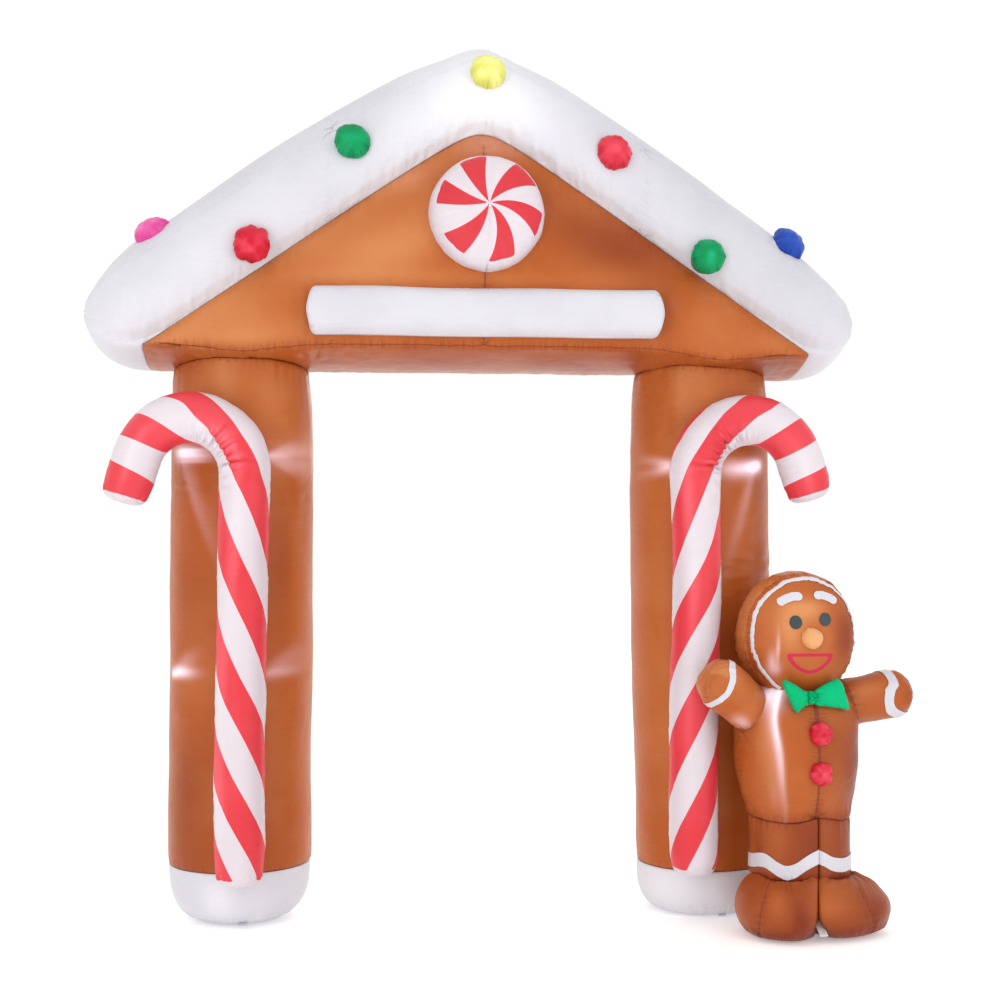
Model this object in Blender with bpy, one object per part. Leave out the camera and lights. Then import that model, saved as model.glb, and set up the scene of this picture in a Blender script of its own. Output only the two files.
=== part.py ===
"""Inflatable house-shaped arch with candy canes, sweets and a biscuit figure.

Every sub-part is an air-filled cloth form: a closed solid of the shape it has
when it is blown up.  Metres, +Z up, front towards -Y, standing on Z = 0.
Shapes are worked out in the arch's own frame, whose middle is halfway between
the two columns, and one parent empty then puts the origin under the middle of
the whole object.
"""

import math
from collections import namedtuple

import bmesh
import bpy
from mathutils import Matrix, Vector

# ---- clearances and cloth ----
SEAM_GAP = 0.0005            # between two pieces sewn to each other
ROOF_GAP = 0.0008            # between the roof and the gable under it
APPLIQUE_GAP = 0.0010        # between a piece of trim and the cloth under it
APPLIQUE_THICKNESS = 0.0015
WEBBING_THICKNESS = 0.0012
WEBBING_FOLD_GAP = 0.0010
WEBBING_WIDTH = 0.025

# ---- columns and their white bases ----
COLUMN_LEFT_X = -0.735       # the columns' middles from the arch's middle
COLUMN_RIGHT_X = 0.727
COLUMN_RADIUS = 0.222
COLUMN_TOP = 1.745           # runs up into the beam, where it is cut to fit
BASE_HEIGHT = 0.170
ROUND_SIDES = 32

# ---- the gabled beam ----
SEAM_HEIGHT = 1.760          # lower seam of the front and back panels
SEAM_HALF_DEPTH = 0.262
SEAM_DIP = 0.026             # the columns pull the seam down this far
SEAM_DIP_WIDTH = 0.075
UNDERSIDE_HEIGHT = 1.708     # lowest line of the beam's belly
UNDERSIDE_POWER = 2.2
GABLE_HALF_WIDTH = 1.0127
GABLE_LINE_HALF_DEPTH = 0.243
GABLE_BULGE = 0.062
ROOF_PITCH = 0.689           # rise over run of the line between gable and roof
ROOFLINE_PEAK = 2.455        # where the two straight rooflines would meet
ROOFLINE_ROUNDING = 0.065

# ---- the white roof ----
ROOF_HALF_WIDTH = 1.215
ROOF_NOSE_HEIGHT = 1.885
ROOF_END_START = 1.0153
ROOF_END_POWER = 2.5
ROOF_END_TOP_POWER = 2.6

# ---- candy canes ----
CANE_RADIUS = 0.0745
CANE_HOOK_SWELL = 0.04       # the hook is this much fatter than the shaft
CANE_BOTTOM = 0.178
CANE_HOOK_HEIGHT = 1.368
CANE_HOOK_TURN = math.radians(163)
CANE_TIP_LENGTH = 0.100
CANE_SIDES = 16

# ---- trim on the gable and roof ----
PEPPERMINT_CENTRE = (0.010, 2.155)
PEPPERMINT_RADIUS = 0.176
PEPPERMINT_PUFF = 0.098
SIGN_CENTRE = (0.008, 1.859)
SIGN_HALF_LENGTH = 0.532
SIGN_HALF_HEIGHT = 0.0725
SIGN_PUFF = 0.060
SIGN_END_ROUNDING = 0.028
GUMDROP_RADIUS = 0.057
GUMDROP_PUFF = 0.048
GUMDROP_ROOT = 0.040         # depth of the root that the roof's shape cuts away

# ---- the biscuit figure, in its own frame ----
FIGURE_PLACE = (0.951, -0.337)
FIGURE_TURN = math.radians(7.5)
HEAD_CENTRE = Vector((-0.010, -0.005, 0.889))
HEAD_TURN = math.radians(-8.5)
HEAD_HALF_WIDTH = 0.166
HEAD_HALF_HEIGHT = 0.184
HEAD_HALF_GUSSET = 0.062
FACE_PUFF = 0.078
ICING_REACH = 52             # degrees below level, where the face's band ends
WAIST = 0.345
ANKLE = 0.172
LEGS_REACH = 0.1485          # outer side of both legs from the figure's middle
LEGS_SPLIT = 0.020           # the seam between the legs is this far to its left
LEG_HALF_DEPTH = 0.123
FOOT_HEIGHT = 0.188
RIGHT_HAND_REACH = 1.313     # tip of the outer hand from the arch's middle
ARCH_FRONT = -0.550          # toes
ARCH_BACK = 0.3145           # back of the gable

# ---- frame: the middle of the object's box on the floor ----
MIDDLE_X = (RIGHT_HAND_REACH - ROOF_HALF_WIDTH) / 2
MIDDLE_Y = (ARCH_FRONT + ARCH_BACK) / 2

Finish = namedtuple("Finish", "name colour roughness")
BROWN = Finish("brown_cloth", (0.52, 0.19, 0.07), 0.42)
WHITE = Finish("white_cloth", (0.86, 0.85, 0.88), 0.48)
RED = Finish("red_cloth", (0.80, 0.03, 0.06), 0.42)
CANDY = Finish("candy_stripe_cloth", (0.85, 0.30, 0.34), 0.42)
GREEN = Finish("green_cloth", (0.00, 0.42, 0.20), 0.42)
YELLOW = Finish("yellow_cloth", (0.80, 0.76, 0.12), 0.42)
PINK = Finish("pink_cloth", (0.86, 0.10, 0.40), 0.42)
BLUE = Finish("blue_cloth", (0.02, 0.07, 0.52), 0.42)
BOW_GREEN = Finish("bow_green_cloth", (0.00, 0.55, 0.26), 0.40)
BLACK = Finish("black_cloth", (0.03, 0.035, 0.04), 0.50)
WEBBING = Finish("white_webbing", (0.86, 0.86, 0.90), 0.65)

Profile = namedtuple("Profile", "height radius")
RoofPoint = namedtuple("RoofPoint", "x height")
RoofRow = namedtuple("RoofRow", "rise depth")
Section = namedtuple("Section", "height half_width half_depth forward")
LimbRow = namedtuple("LimbRow", "along radius")
CaneShape = namedtuple("CaneShape", "shaft_x shaft_y lean hook_radius")
Gumdrop = namedtuple("Gumdrop", "name finish place out")
Wave = namedtuple("Wave", "middle width swing turns phase")

COLUMN_PROFILE = [
    Profile(BASE_HEIGHT + SEAM_GAP, 0.2185),
    Profile(0.23, 0.2225),
    Profile(0.60, 0.2220),
    Profile(1.00, 0.2210),
    Profile(1.35, 0.2225),
    Profile(1.60, 0.2170),
    Profile(1.69, 0.2120),
    Profile(COLUMN_TOP, 0.2080),
]
BASE_PROFILE = [
    Profile(0.000, 0.100),
    Profile(0.007, 0.143),
    Profile(0.026, 0.178),
    Profile(0.056, 0.200),
    Profile(0.096, 0.2125),
    Profile(0.135, 0.2165),
    Profile(BASE_HEIGHT, 0.2165),
]
ROOF_TOP_LINE = [                    # the right slope hangs a little lower than the left
    RoofPoint(-1.22, 1.970),
    RoofPoint(-1.08, 2.080),
    RoofPoint(-0.80, 2.286),
    RoofPoint(-0.55, 2.453),
    RoofPoint(-0.43, 2.530),
    RoofPoint(-0.25, 2.634),
    RoofPoint(-0.11, 2.693),
    RoofPoint(0.015, 2.731),
    RoofPoint(0.11, 2.689),
    RoofPoint(0.25, 2.622),
    RoofPoint(0.43, 2.510),
    RoofPoint(0.55, 2.428),
    RoofPoint(0.80, 2.258),
    RoofPoint(1.08, 2.052),
    RoofPoint(1.22, 1.945),
]
ROOF_PROFILE = [                     # share of the roof's height, half depth
    RoofRow(0.00, 0.243),
    RoofRow(0.10, 0.281),
    RoofRow(0.28, 0.300),
    RoofRow(0.50, 0.293),
    RoofRow(0.72, 0.255),
    RoofRow(0.88, 0.187),
    RoofRow(0.97, 0.095),
]
BODY_SECTIONS = [
    Section(WAIST + SEAM_GAP / 2, 0.150, 0.118, -0.002),
    Section(0.370, 0.164, 0.140, -0.006),
    Section(0.420, 0.177, 0.162, -0.012),
    Section(0.500, 0.185, 0.172, -0.016),
    Section(0.580, 0.183, 0.168, -0.016),
    Section(0.650, 0.172, 0.148, -0.010),
    Section(0.700, 0.150, 0.118, 0.000),
    Section(0.735, 0.120, 0.088, 0.000),
    Section(0.754, 0.070, 0.050, 0.000),
    Section(0.760, 0.030, 0.022, 0.000),
]
ARM_ROWS = [
    LimbRow(0.000, 0.058),
    LimbRow(0.070, 0.066),
    LimbRow(0.130, 0.065),
    LimbRow(0.180, 0.069),
    LimbRow(0.215, 0.067),
    LimbRow(0.240, 0.056),
    LimbRow(0.255, 0.036),
    LimbRow(0.260, 0.013),
]
LEG_SECTIONS = [                     # half_width as a share of the leg's own
    Section(ANKLE, 1.00, LEG_HALF_DEPTH, 0.000),
    Section(0.230, 1.00, LEG_HALF_DEPTH + 0.002, 0.000),
    Section(0.290, 1.00, LEG_HALF_DEPTH + 0.002, 0.000),
    Section(WAIST - SEAM_GAP / 2, 0.96, LEG_HALF_DEPTH - 0.004, 0.000),
]
FOOT_SECTIONS = [
    Section(0.000, 0.056, 0.080, 0.010),
    Section(0.006, 0.080, 0.112, 0.010),
    Section(0.024, 0.104, 0.140, 0.012),
    Section(0.056, 0.119, 0.156, 0.014),
    Section(0.092, 0.123, 0.158, 0.014),
    Section(0.128, 0.116, 0.148, 0.012),
    Section(0.158, 0.097, 0.124, 0.008),
    Section(0.178, 0.068, 0.090, 0.004),
    Section(FOOT_HEIGHT, 0.028, 0.038, 0.000),
]
FOOT_MIDDLE = 0.106
FEET_SPLIT = 0.022
FOOT_FORWARD = 0.032

GUMDROPS = [
    Gumdrop("gumdrop_yellow", YELLOW, (0.012, -0.282, 2.585), (0.02, -0.97, 0.22)),
    Gumdrop("gumdrop_green_left", GREEN, (-0.394, -0.293, 2.362), (-0.05, -0.99, 0.12)),
    Gumdrop("gumdrop_red_left", RED, (-0.690, -0.298, 2.049), (-0.02, -1.00, 0.02)),
    Gumdrop("gumdrop_pink", PINK, (-0.990, -0.165, 2.098), (-0.42, -0.64, 0.64)),
    Gumdrop("gumdrop_red_right", RED, (0.397, -0.290, 2.349), (0.05, -0.99, 0.12)),
    Gumdrop("gumdrop_green_right", GREEN, (0.686, -0.298, 2.038), (0.02, -1.00, 0.02)),
    Gumdrop("gumdrop_blue", BLUE, (0.962, -0.150, 2.090), (0.42, -0.55, 0.72)),
]
LEFT_CANE = CaneShape(shaft_x=-0.708, shaft_y=-0.286, lean=-0.022, hook_radius=0.158)
RIGHT_CANE = CaneShape(shaft_x=0.651, shaft_y=-0.272, lean=-0.006, hook_radius=0.167)
CUFF_WAVE = Wave(middle=0.165, width=0.024, swing=0.011, turns=2, phase=0.4)
SHIN_WAVE = Wave(middle=0.232, width=0.036, swing=0.017, turns=2, phase=math.pi / 2)


# ---- small tools ----

def clear_scene():
    for obj in list(bpy.data.objects):
        bpy.data.objects.remove(obj, do_unlink=True)


def material_for(finish):
    material = bpy.data.materials.get(finish.name)
    if material is None:
        material = bpy.data.materials.new(finish.name)
        material.use_nodes = True
        shader = material.node_tree.nodes["Principled BSDF"]
        shader.inputs["Base Color"].default_value = (*finish.colour, 1.0)
        shader.inputs["Roughness"].default_value = finish.roughness
        shader.inputs["Metallic"].default_value = 0.0
    return material


def add_object(name, mesh_build, finish, parent):
    """Closes the build, turns its faces outwards and links it as one object."""
    bmesh.ops.recalc_face_normals(mesh_build, faces=mesh_build.faces)
    bmesh.ops.triangulate(mesh_build, faces=mesh_build.faces)
    mesh = bpy.data.meshes.new(name)
    mesh_build.to_mesh(mesh)
    mesh_build.free()
    mesh.shade_smooth()
    mesh.set_sharp_from_angle(angle=math.radians(50))
    mesh.materials.append(material_for(finish))
    obj = bpy.data.objects.new(name, mesh)
    obj.parent = parent
    bpy.context.scene.collection.objects.link(obj)
    return obj


def frame_at(name, place, turn=0.0, parent=None):
    empty = bpy.data.objects.new(name, None)
    empty.location = place
    empty.rotation_euler = (0.0, 0.0, turn)
    empty.parent = parent
    bpy.context.scene.collection.objects.link(empty)
    return empty


def smooth_at(rows, position, column):
    """A column of a table, read with smooth curves; the first column is the position."""
    positions = [row[0] for row in rows]
    values = [getattr(row, column) for row in rows]
    if position <= positions[0]:
        return values[0]
    if position >= positions[-1]:
        return values[-1]
    index = max(i for i, p in enumerate(positions) if p <= position)
    span = positions[index + 1] - positions[index]

    def slope(i):
        low, high = max(i - 1, 0), min(i + 1, len(rows) - 1)
        return (values[high] - values[low]) / (positions[high] - positions[low])

    t = (position - positions[index]) / span
    rise = values[index + 1] - values[index]
    start, end = slope(index) * span, slope(index + 1) * span
    return (values[index] + start * t + (3 * rise - 2 * start - end) * t**2
            + (start + end - 2 * rise) * t**3)


def spread(start, end, count):
    return [start + (end - start) * i / (count - 1) for i in range(count)]


def oval(half_x, half_y, sides, power=2.0, middle=(0.0, 0.0)):
    """Points of a superellipse; power 2 is an ellipse and more is boxier."""
    points = []
    for i in range(sides):
        angle = math.tau * i / sides
        c, s = math.cos(angle), math.sin(angle)
        points.append((middle[0] + half_x * math.copysign(abs(c) ** (2 / power), c),
                       middle[1] + half_y * math.copysign(abs(s) ** (2 / power), s)))
    return points


def cap(mesh_build, ring):
    """Fills a ring with a fan from its middle."""
    middle = mesh_build.verts.new(sum((v.co for v in ring), Vector()) / len(ring))
    for a, b in zip(ring, ring[1:] + ring[:1]):
        mesh_build.faces.new((a, b, middle))


def loft(name, rings, finish, parent, closed=False):
    """Skins rings of equal count.  An open loft is capped; a closed one joins up."""
    mesh_build = bmesh.new()
    rows = [[mesh_build.verts.new(point) for point in ring] for ring in rings]
    pairs = list(zip(rows, rows[1:]))
    if closed:
        pairs.append((rows[-1], rows[0]))
    for lower, upper in pairs:
        count = len(lower)
        for i in range(count):
            j = (i + 1) % count
            mesh_build.faces.new((lower[i], lower[j], upper[j], upper[i]))
    if not closed:
        cap(mesh_build, rows[0])
        cap(mesh_build, rows[-1])
    return add_object(name, mesh_build, finish, parent)


def seat(piece, *neighbours):
    """Cuts a piece back to its neighbours' cloth, less the seam gap."""
    for neighbour in neighbours:
        cutter = bpy.data.objects.new(piece.name + "_seat_on_" + neighbour.name, neighbour.data)
        cutter.parent = neighbour.parent
        cutter.hide_render = True
        cutter.display_type = "WIRE"
        grow = cutter.modifiers.new("seam_gap", "DISPLACE")
        grow.mid_level = 0.0
        grow.strength = SEAM_GAP
        bpy.context.scene.collection.objects.link(cutter)
        cut = piece.modifiers.new("seat_" + neighbour.name, "BOOLEAN")
        cut.operation = "DIFFERENCE"
        cut.solver = "EXACT"
        cut.object = cutter


# ---- the arch's own outlines ----

def seam_height(x):
    """Lower seam of the beam's front panel, pulled down over each column."""
    away = (abs(x) - COLUMN_RIGHT_X) / SEAM_DIP_WIDTH
    end = max(0.0, abs(x) - 0.90) / (GABLE_HALF_WIDTH - 0.90)
    return SEAM_HEIGHT - SEAM_DIP * math.exp(-away**2) - 0.018 * end**2


def roofline(x):
    """Height of the line where the brown gable meets the white roof."""
    return ROOFLINE_PEAK - ROOF_PITCH * math.hypot(x, ROOFLINE_ROUNDING)


def roof_top(x):
    return smooth_at(ROOF_TOP_LINE, x, "height")


def belly(x, share, edge_height, low):
    """Height of the underside; share runs from 0 under the middle to 1 at the seam."""
    return low + (edge_height - low) * abs(share) ** UNDERSIDE_POWER


def front_depth(x, height):
    """How far the gable's front panel stands in front of the arch's middle plane."""
    low, high = seam_height(x), roofline(x)
    share = min(1.0, max(0.0, (height - low) / (high - low)))
    bulge = GABLE_BULGE * min(1.0, (high - low) / 0.42)
    flat = SEAM_HALF_DEPTH + (GABLE_LINE_HALF_DEPTH - SEAM_HALF_DEPTH) * share
    return flat + bulge * math.sin(math.pi * share) ** 0.8


# ---- arch pieces ----

def make_gable(parent):
    """Brown beam and gable in one air chamber."""
    half = [0.0, 0.06, 0.13, 0.22, 0.34, 0.46, 0.56, 0.64, 0.69, 0.735, 0.78, 0.84, 0.90,
            0.96, GABLE_HALF_WIDTH]
    stations = [-x for x in reversed(half[1:])] + half
    panel_shares = spread(0.0, 1.0, 9)
    top_shares = spread(-1.0, 1.0, 5)[1:-1]
    belly_shares = spread(1.0, -1.0, 9)[1:-1]
    rings = []
    for x in stations:
        low, high = seam_height(x), roofline(x)
        front = [(front_depth(x, low + (high - low) * s), low + (high - low) * s)
                 for s in panel_shares]
        ring = [(x, -depth, z) for depth, z in front]
        ring += [(x, GABLE_LINE_HALF_DEPTH * s, high) for s in top_shares]
        ring += [(x, depth, z) for depth, z in reversed(front)]
        ring += [(x, SEAM_HALF_DEPTH * s, belly(x, s, low, UNDERSIDE_HEIGHT))
                 for s in belly_shares]
        rings.append(ring)
    return loft("gable", rings, BROWN, parent)


def roof_ring(x, low, edge, high, width_share):
    """One section of the roof: rounded over the top, and a belly or a flat below."""
    side = [(row.depth * width_share, edge + (high - edge) * row.rise) for row in ROOF_PROFILE]
    ring = [(x, -depth, z) for depth, z in side]
    ring += [(x, 0.0, high)]
    ring += [(x, depth, z) for depth, z in reversed(side)]
    half_edge = side[0][0]
    ring += [(x, half_edge * s, belly(x, s, edge, low)) for s in spread(1.0, -1.0, 9)[1:-1]]
    return ring


def make_roof(parent):
    """White chevron-shaped tube; its rounded ends wrap round the gable's ends."""
    half = [0.0, 0.06, 0.13, 0.22, 0.34, 0.46, 0.64, 0.84]
    half.append(GABLE_HALF_WIDTH + SEAM_GAP)
    right = [(x, roofline(x) + ROOF_GAP, roofline(x) + ROOF_GAP, 1.0, 1.0) for x in half]
    reach = ROOF_HALF_WIDTH - ROOF_END_START
    for share in (0.0, 0.20, 0.38, 0.55, 0.70, 0.82, 0.91, 0.965, 0.994):
        x = ROOF_END_START + reach * share
        upper = math.sqrt(1 - share**ROOF_END_TOP_POWER)
        lower = math.sqrt(1 - share**ROOF_END_POWER)
        low = ROOF_NOSE_HEIGHT - (ROOF_NOSE_HEIGHT - UNDERSIDE_HEIGHT) * lower
        edge = low + (seam_height(GABLE_HALF_WIDTH) - UNDERSIDE_HEIGHT) * lower
        right.append((x, low, edge, upper, lower))
    left = [(-row[0],) + row[1:] for row in reversed(right[1:])]
    rings = []
    for x, low, edge, top_share, width_share in left + right:
        high = ROOF_NOSE_HEIGHT + (roof_top(x) - ROOF_NOSE_HEIGHT) * top_share
        rings.append(roof_ring(x, low, edge, high, width_share))
    return loft("roof", rings, WHITE, parent)


def turned(name, profile, heights, middle, finish, parent):
    """A round form about a vertical axis, from its profile."""
    rings = []
    for z in heights:
        radius = smooth_at(profile, z, "radius")
        rings.append([(x, y, z) for x, y in oval(radius, radius, ROUND_SIDES, middle=middle)])
    return loft(name, rings, finish, parent)


def make_column(side, x, parent, gable):
    heights = [row.height for row in COLUMN_PROFILE]
    column = turned("column_" + side, COLUMN_PROFILE, heights, (x, 0.0), BROWN, parent)
    seat(column, gable)
    heights = [row.height for row in BASE_PROFILE]
    base = turned("base_" + side, BASE_PROFILE, heights, (x, 0.0), WHITE, parent)
    return column, base


def cane_path(shaft_x, lean, hook_radius, way):
    """Centre line in the plane of the cane: up the shaft, round the hook, to the tip."""
    hook_x = shaft_x + way * hook_radius
    path = [(shaft_x + lean * (1 - z / CANE_HOOK_HEIGHT), z)
            for z in spread(CANE_BOTTOM, CANE_HOOK_HEIGHT, 9)]
    for angle in spread(0.0, CANE_HOOK_TURN, 13)[1:]:
        path.append((hook_x - way * hook_radius * math.cos(angle),
                     CANE_HOOK_HEIGHT + hook_radius * math.sin(angle)))
    end_x, end_z = path[-1]
    for length in spread(0.0, CANE_TIP_LENGTH, 3)[1:]:
        path.append((end_x + way * length * math.sin(math.pi - CANE_HOOK_TURN),
                     end_z - length * math.cos(math.pi - CANE_HOOK_TURN)))
    return path


def make_cane(side, shape, way, parent, neighbours):
    """Candy cane: a tube in one plane, with a rounded end cap at each end."""
    path = cane_path(shape.shaft_x, shape.lean, shape.hook_radius, way)
    headings = []
    for i in range(len(path)):
        (x0, z0), (x1, z1) = path[max(i - 1, 0)], path[min(i + 1, len(path) - 1)]
        headings.append(Vector((x1 - x0, 0.0, z1 - z0)).normalized())
    cap_rows = [(-0.020, 0.30), (-0.016, 0.66), (-0.008, 0.90)]      # beyond the end, radius share
    stations = [(0, back, share) for back, share in cap_rows]
    stations += [(i, 0.0, 1.0) for i in range(len(path))]
    stations += [(len(path) - 1, -back, share) for back, share in reversed(cap_rows)]
    rings = []
    for index, along, share in stations:
        heading = headings[index]
        across = Vector((heading.z, 0.0, -heading.x))
        x, z = path[index]
        middle = Vector((x, shape.shaft_y, z)) + heading * along
        into_hook = min(1.0, max(0.0, (z - 1.25) / 0.12))
        radius = CANE_RADIUS * share * (1 + CANE_HOOK_SWELL * into_hook)
        rings.append([middle + across * a + Vector((0.0, b, 0.0))
                      for a, b in oval(radius, radius, CANE_SIDES)])
    cane = loft("cane_" + side, rings, CANDY, parent)
    seat(cane, *neighbours)
    return cane


def make_peppermint(parent, gable):
    """Round sweet sewn to the gable: a cushion with a domed front and a root."""
    x, z = PEPPERMINT_CENTRE
    rim = front_depth(x, z) - 0.012
    rows = [(0.100, 0.94), (0.020, 0.995), (-0.010, 1.0), (-0.045, 0.955), (-0.072, 0.83),
            (-0.090, 0.62), (-0.0975, 0.34), (-0.0995, 0.10)]         # forward, radius share
    rings = []
    for back, share in rows:
        radius = PEPPERMINT_RADIUS * share
        forward = back if back > 0 else back * PEPPERMINT_PUFF / 0.0995
        rings.append([(x + a, -rim + forward, z + b) for a, b in oval(radius, radius, 28)])
    peppermint = loft("peppermint", rings, CANDY, parent)
    seat(peppermint, gable)
    return peppermint


def make_sign(parent, gable):
    """Long white blank panel, padded, with gently bowed ends."""
    middle_x, middle_z = SIGN_CENTRE
    ends = [0.0, 0.35, 0.65, 0.85, 0.97]
    straight = SIGN_HALF_LENGTH - SIGN_END_ROUNDING
    half = spread(0.0, straight, 6) + [straight + SIGN_END_ROUNDING * e for e in ends[1:]]
    stations = [-x for x in reversed(half[1:])] + half
    rings = []
    for x in stations:
        past = max(0.0, abs(x) - straight) / SIGN_END_ROUNDING
        share = math.sqrt(1.0 - past**2)
        rim = front_depth(middle_x + x, middle_z)
        ring = []
        for angle in spread(-math.pi / 2, math.pi / 2, 7):
            ring.append((middle_x + x, -rim - SIGN_PUFF * share**0.5 * math.cos(angle) ** 0.8,
                         middle_z + SIGN_HALF_HEIGHT * share * math.sin(angle)))
        ring.append((middle_x + x, -rim + 0.06, middle_z + SIGN_HALF_HEIGHT * share))
        ring.append((middle_x + x, -rim + 0.06, middle_z - SIGN_HALF_HEIGHT * share))
        rings.append(ring)
    sign = loft("sign", rings, WHITE, parent)
    seat(sign, gable)
    return sign


def make_gumdrop(drop, parent, roof):
    """Small dome sewn to the roof, with its gathered edge drawn in at the seam."""
    rows = [(-GUMDROP_ROOT, 0.86), (0.0, 0.94), (0.010, 1.0), (0.024, 0.94), (0.037, 0.74),
            (0.045, 0.42), (GUMDROP_PUFF, 0.12)]                      # outwards, radius share
    turn = Vector((0.0, 0.0, 1.0)).rotation_difference(Vector(drop.out).normalized())
    place = Matrix.Translation(drop.place) @ turn.to_matrix().to_4x4()
    rings = []
    for out, share in rows:
        radius = GUMDROP_RADIUS * share
        rings.append([place @ Vector((a, b, out)) for a, b in oval(radius, radius, 16)])
    gumdrop = loft(drop.name, rings, drop.finish, parent)
    seat(gumdrop, roof)
    return gumdrop


def make_tether(name, root, heading, drop, parent):
    """Flat webbing loop: one strip folded back on itself, its two layers apart."""
    length = 0.046
    bend = 2 * WEBBING_THICKNESS + WEBBING_FOLD_GAP
    t, g = WEBBING_THICKNESS, WEBBING_FOLD_GAP
    outline = [(0.0, 0.0), (length - bend / 2, 0.0), (length - 0.0005, bend * 0.25),
               (length - 0.0005, bend * 0.75), (length - bend / 2, bend), (0.0, bend),
               (0.0, t + g), (length - bend / 2 - 0.0004, t + g),
               (length - bend / 2 - 0.0004, t), (0.0, t)]
    forward = Vector((math.sin(heading), -math.cos(heading), 0.0))
    sideways = Vector((math.cos(heading), math.sin(heading), 0.0))
    rise = [drop * (1 - along / length) for along, _ in outline]
    mesh_build = bmesh.new()
    sides = []
    for half in (-0.5, 0.5):
        sides.append([mesh_build.verts.new(Vector(root) + sideways * half * WEBBING_WIDTH
                                           + forward * along + Vector((0.0, 0.0, up + lift)))
                      for (along, up), lift in zip(outline, rise)])
    count = len(outline)
    for i in range(count):
        j = (i + 1) % count
        mesh_build.faces.new((sides[0][i], sides[0][j], sides[1][j], sides[1][i]))
    mesh_build.faces.new(sides[0])
    mesh_build.faces.new(sides[1])
    return add_object(name, mesh_build, WEBBING, parent)


# ---- figure pieces ----

def section_rings(sections, heights, middle, sides, power, flat_side=None):
    """Horizontal rings of a body part; flat_side presses it against the middle plane."""
    rings = []
    for z in heights:
        half_width = smooth_at(sections, z, "half_width")
        half_depth = smooth_at(sections, z, "half_depth")
        forward = smooth_at(sections, z, "forward")
        ring = oval(half_width, half_depth, sides, power, (middle[0], middle[1] - forward))
        if flat_side:
            ring = [(flat_side * max(flat_side * x, SEAM_GAP / 2), y) for x, y in ring]
        rings.append([(x, y, z) for x, y in ring])
    return rings


def moved(rings, along_x):
    return [[(x + along_x, y, z) for x, y, z in ring] for ring in rings]


def make_body(parent, neighbours):
    rings = section_rings(BODY_SECTIONS, [row.height for row in BODY_SECTIONS],
                          (0.0, 0.0), 28, 2.1)
    body = loft("figure_body", rings, BROWN, parent)
    seat(body, *neighbours)
    return body


def head_point(angle, share, back=False, lift=0.0):
    """A point of the head; share runs from 0 at the face's middle to 1 at its rim."""
    puff = FACE_PUFF * (1 - share**2.2) ** 0.72
    depth = HEAD_HALF_GUSSET + puff + lift
    radius = share + lift / HEAD_HALF_WIDTH * share**4
    y = depth if back else -depth
    return HEAD_CENTRE + Vector((HEAD_HALF_WIDTH * radius * math.cos(angle), y,
                                 HEAD_HALF_HEIGHT * radius * math.sin(angle)))


def make_head(parent, body):
    """Thick disc: a domed face, a bulging gusset round the edge and a domed back."""
    sides = 28
    shares = [0.12, 0.34, 0.55, 0.72, 0.86, 0.955, 1.0]
    angles = [math.tau * i / sides for i in range(sides)]
    rings = [[head_point(a, s) for a in angles] for s in shares]
    for y, bulge in ((-0.036, 1.035), (0.0, 1.055), (0.036, 1.035)):
        rings.append([HEAD_CENTRE + Vector((HEAD_HALF_WIDTH * bulge * math.cos(a), y,
                                            HEAD_HALF_HEIGHT * bulge * math.sin(a)))
                      for a in angles])
    rings += [[head_point(a, s, back=True) for a in angles] for s in reversed(shares)]
    head = loft("figure_head", rings, BROWN, parent)
    seat(head, body)
    return head


def make_head_icing(parent):
    """White band sewn round the face, just inside its rim; the bow hides its two ends."""
    rings = []
    for angle in spread(math.radians(-ICING_REACH), math.radians(180 + ICING_REACH), 30):
        inner = [head_point(angle, s, lift=APPLIQUE_GAP) for s in (0.86, 0.91, 0.955)]
        outer = [head_point(angle, s, lift=APPLIQUE_GAP + APPLIQUE_THICKNESS)
                 for s in (0.955, 0.91, 0.86)]
        rings.append(inner + outer)
    return loft("icing_head", rings, WHITE, parent)


def face_patch(name, outline, finish, parent):
    """A flat cloth shape laid on the face: outline is (x, z) from the head's middle."""
    middle = sum((Vector(p) for p in outline), Vector((0.0, 0.0))) / len(outline)
    rings = []
    for lift, shrink in ((APPLIQUE_GAP, 1.0), (APPLIQUE_GAP + APPLIQUE_THICKNESS, 1.0)):
        for scale in ((0.5, 1.0) if lift == APPLIQUE_GAP else (1.0, 0.5)):
            ring = []
            for point in outline:
                x, z = middle + (Vector(point) - middle) * scale * shrink
                share = math.hypot(x / HEAD_HALF_WIDTH, z / HEAD_HALF_HEIGHT)
                ring.append(head_point(math.atan2(z / HEAD_HALF_HEIGHT, x / HEAD_HALF_WIDTH),
                                       share, lift=lift))
            rings.append(ring)
    return loft(name, rings, finish, parent)


def make_face(parent, head):
    """Eyes, brows and nose."""
    eye_x, eye_z, brow_z = 0.044, 0.043, 0.112
    for side, way in (("left", -1), ("right", 1)):
        eye = oval(0.018, 0.0205, 14, middle=(way * eye_x, eye_z))
        face_patch("eye_" + side, eye, BLACK, parent)
        brow = []
        for angle in spread(0.0, math.pi, 7):
            brow.append((0.042 * math.cos(angle) + 0.061, 0.030 * math.sin(angle) ** 0.9 - 0.010))
        for angle in spread(math.pi, 0.0, 7):
            brow.append((0.024 * math.cos(angle) + 0.061, 0.006 * math.sin(angle) - 0.014))
        face_patch("brow_" + side, [(way * x, z + brow_z - 0.004) for x, z in brow], WHITE, parent)
    nose_middle = HEAD_CENTRE + Vector((0.003, -HEAD_HALF_GUSSET - FACE_PUFF - 0.002, -0.003))
    rings = []
    for angle in spread(0.12 * math.pi, 0.88 * math.pi, 8):
        radius = 0.029 * math.sin(angle)
        rings.append([nose_middle + Vector((a, -0.031 * math.cos(angle) + 0.004, b))
                      for a, b in oval(radius, radius * 1.05, 14)])
    nose = loft("nose", rings, BROWN, parent)
    seat(nose, head)
    return nose


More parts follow.
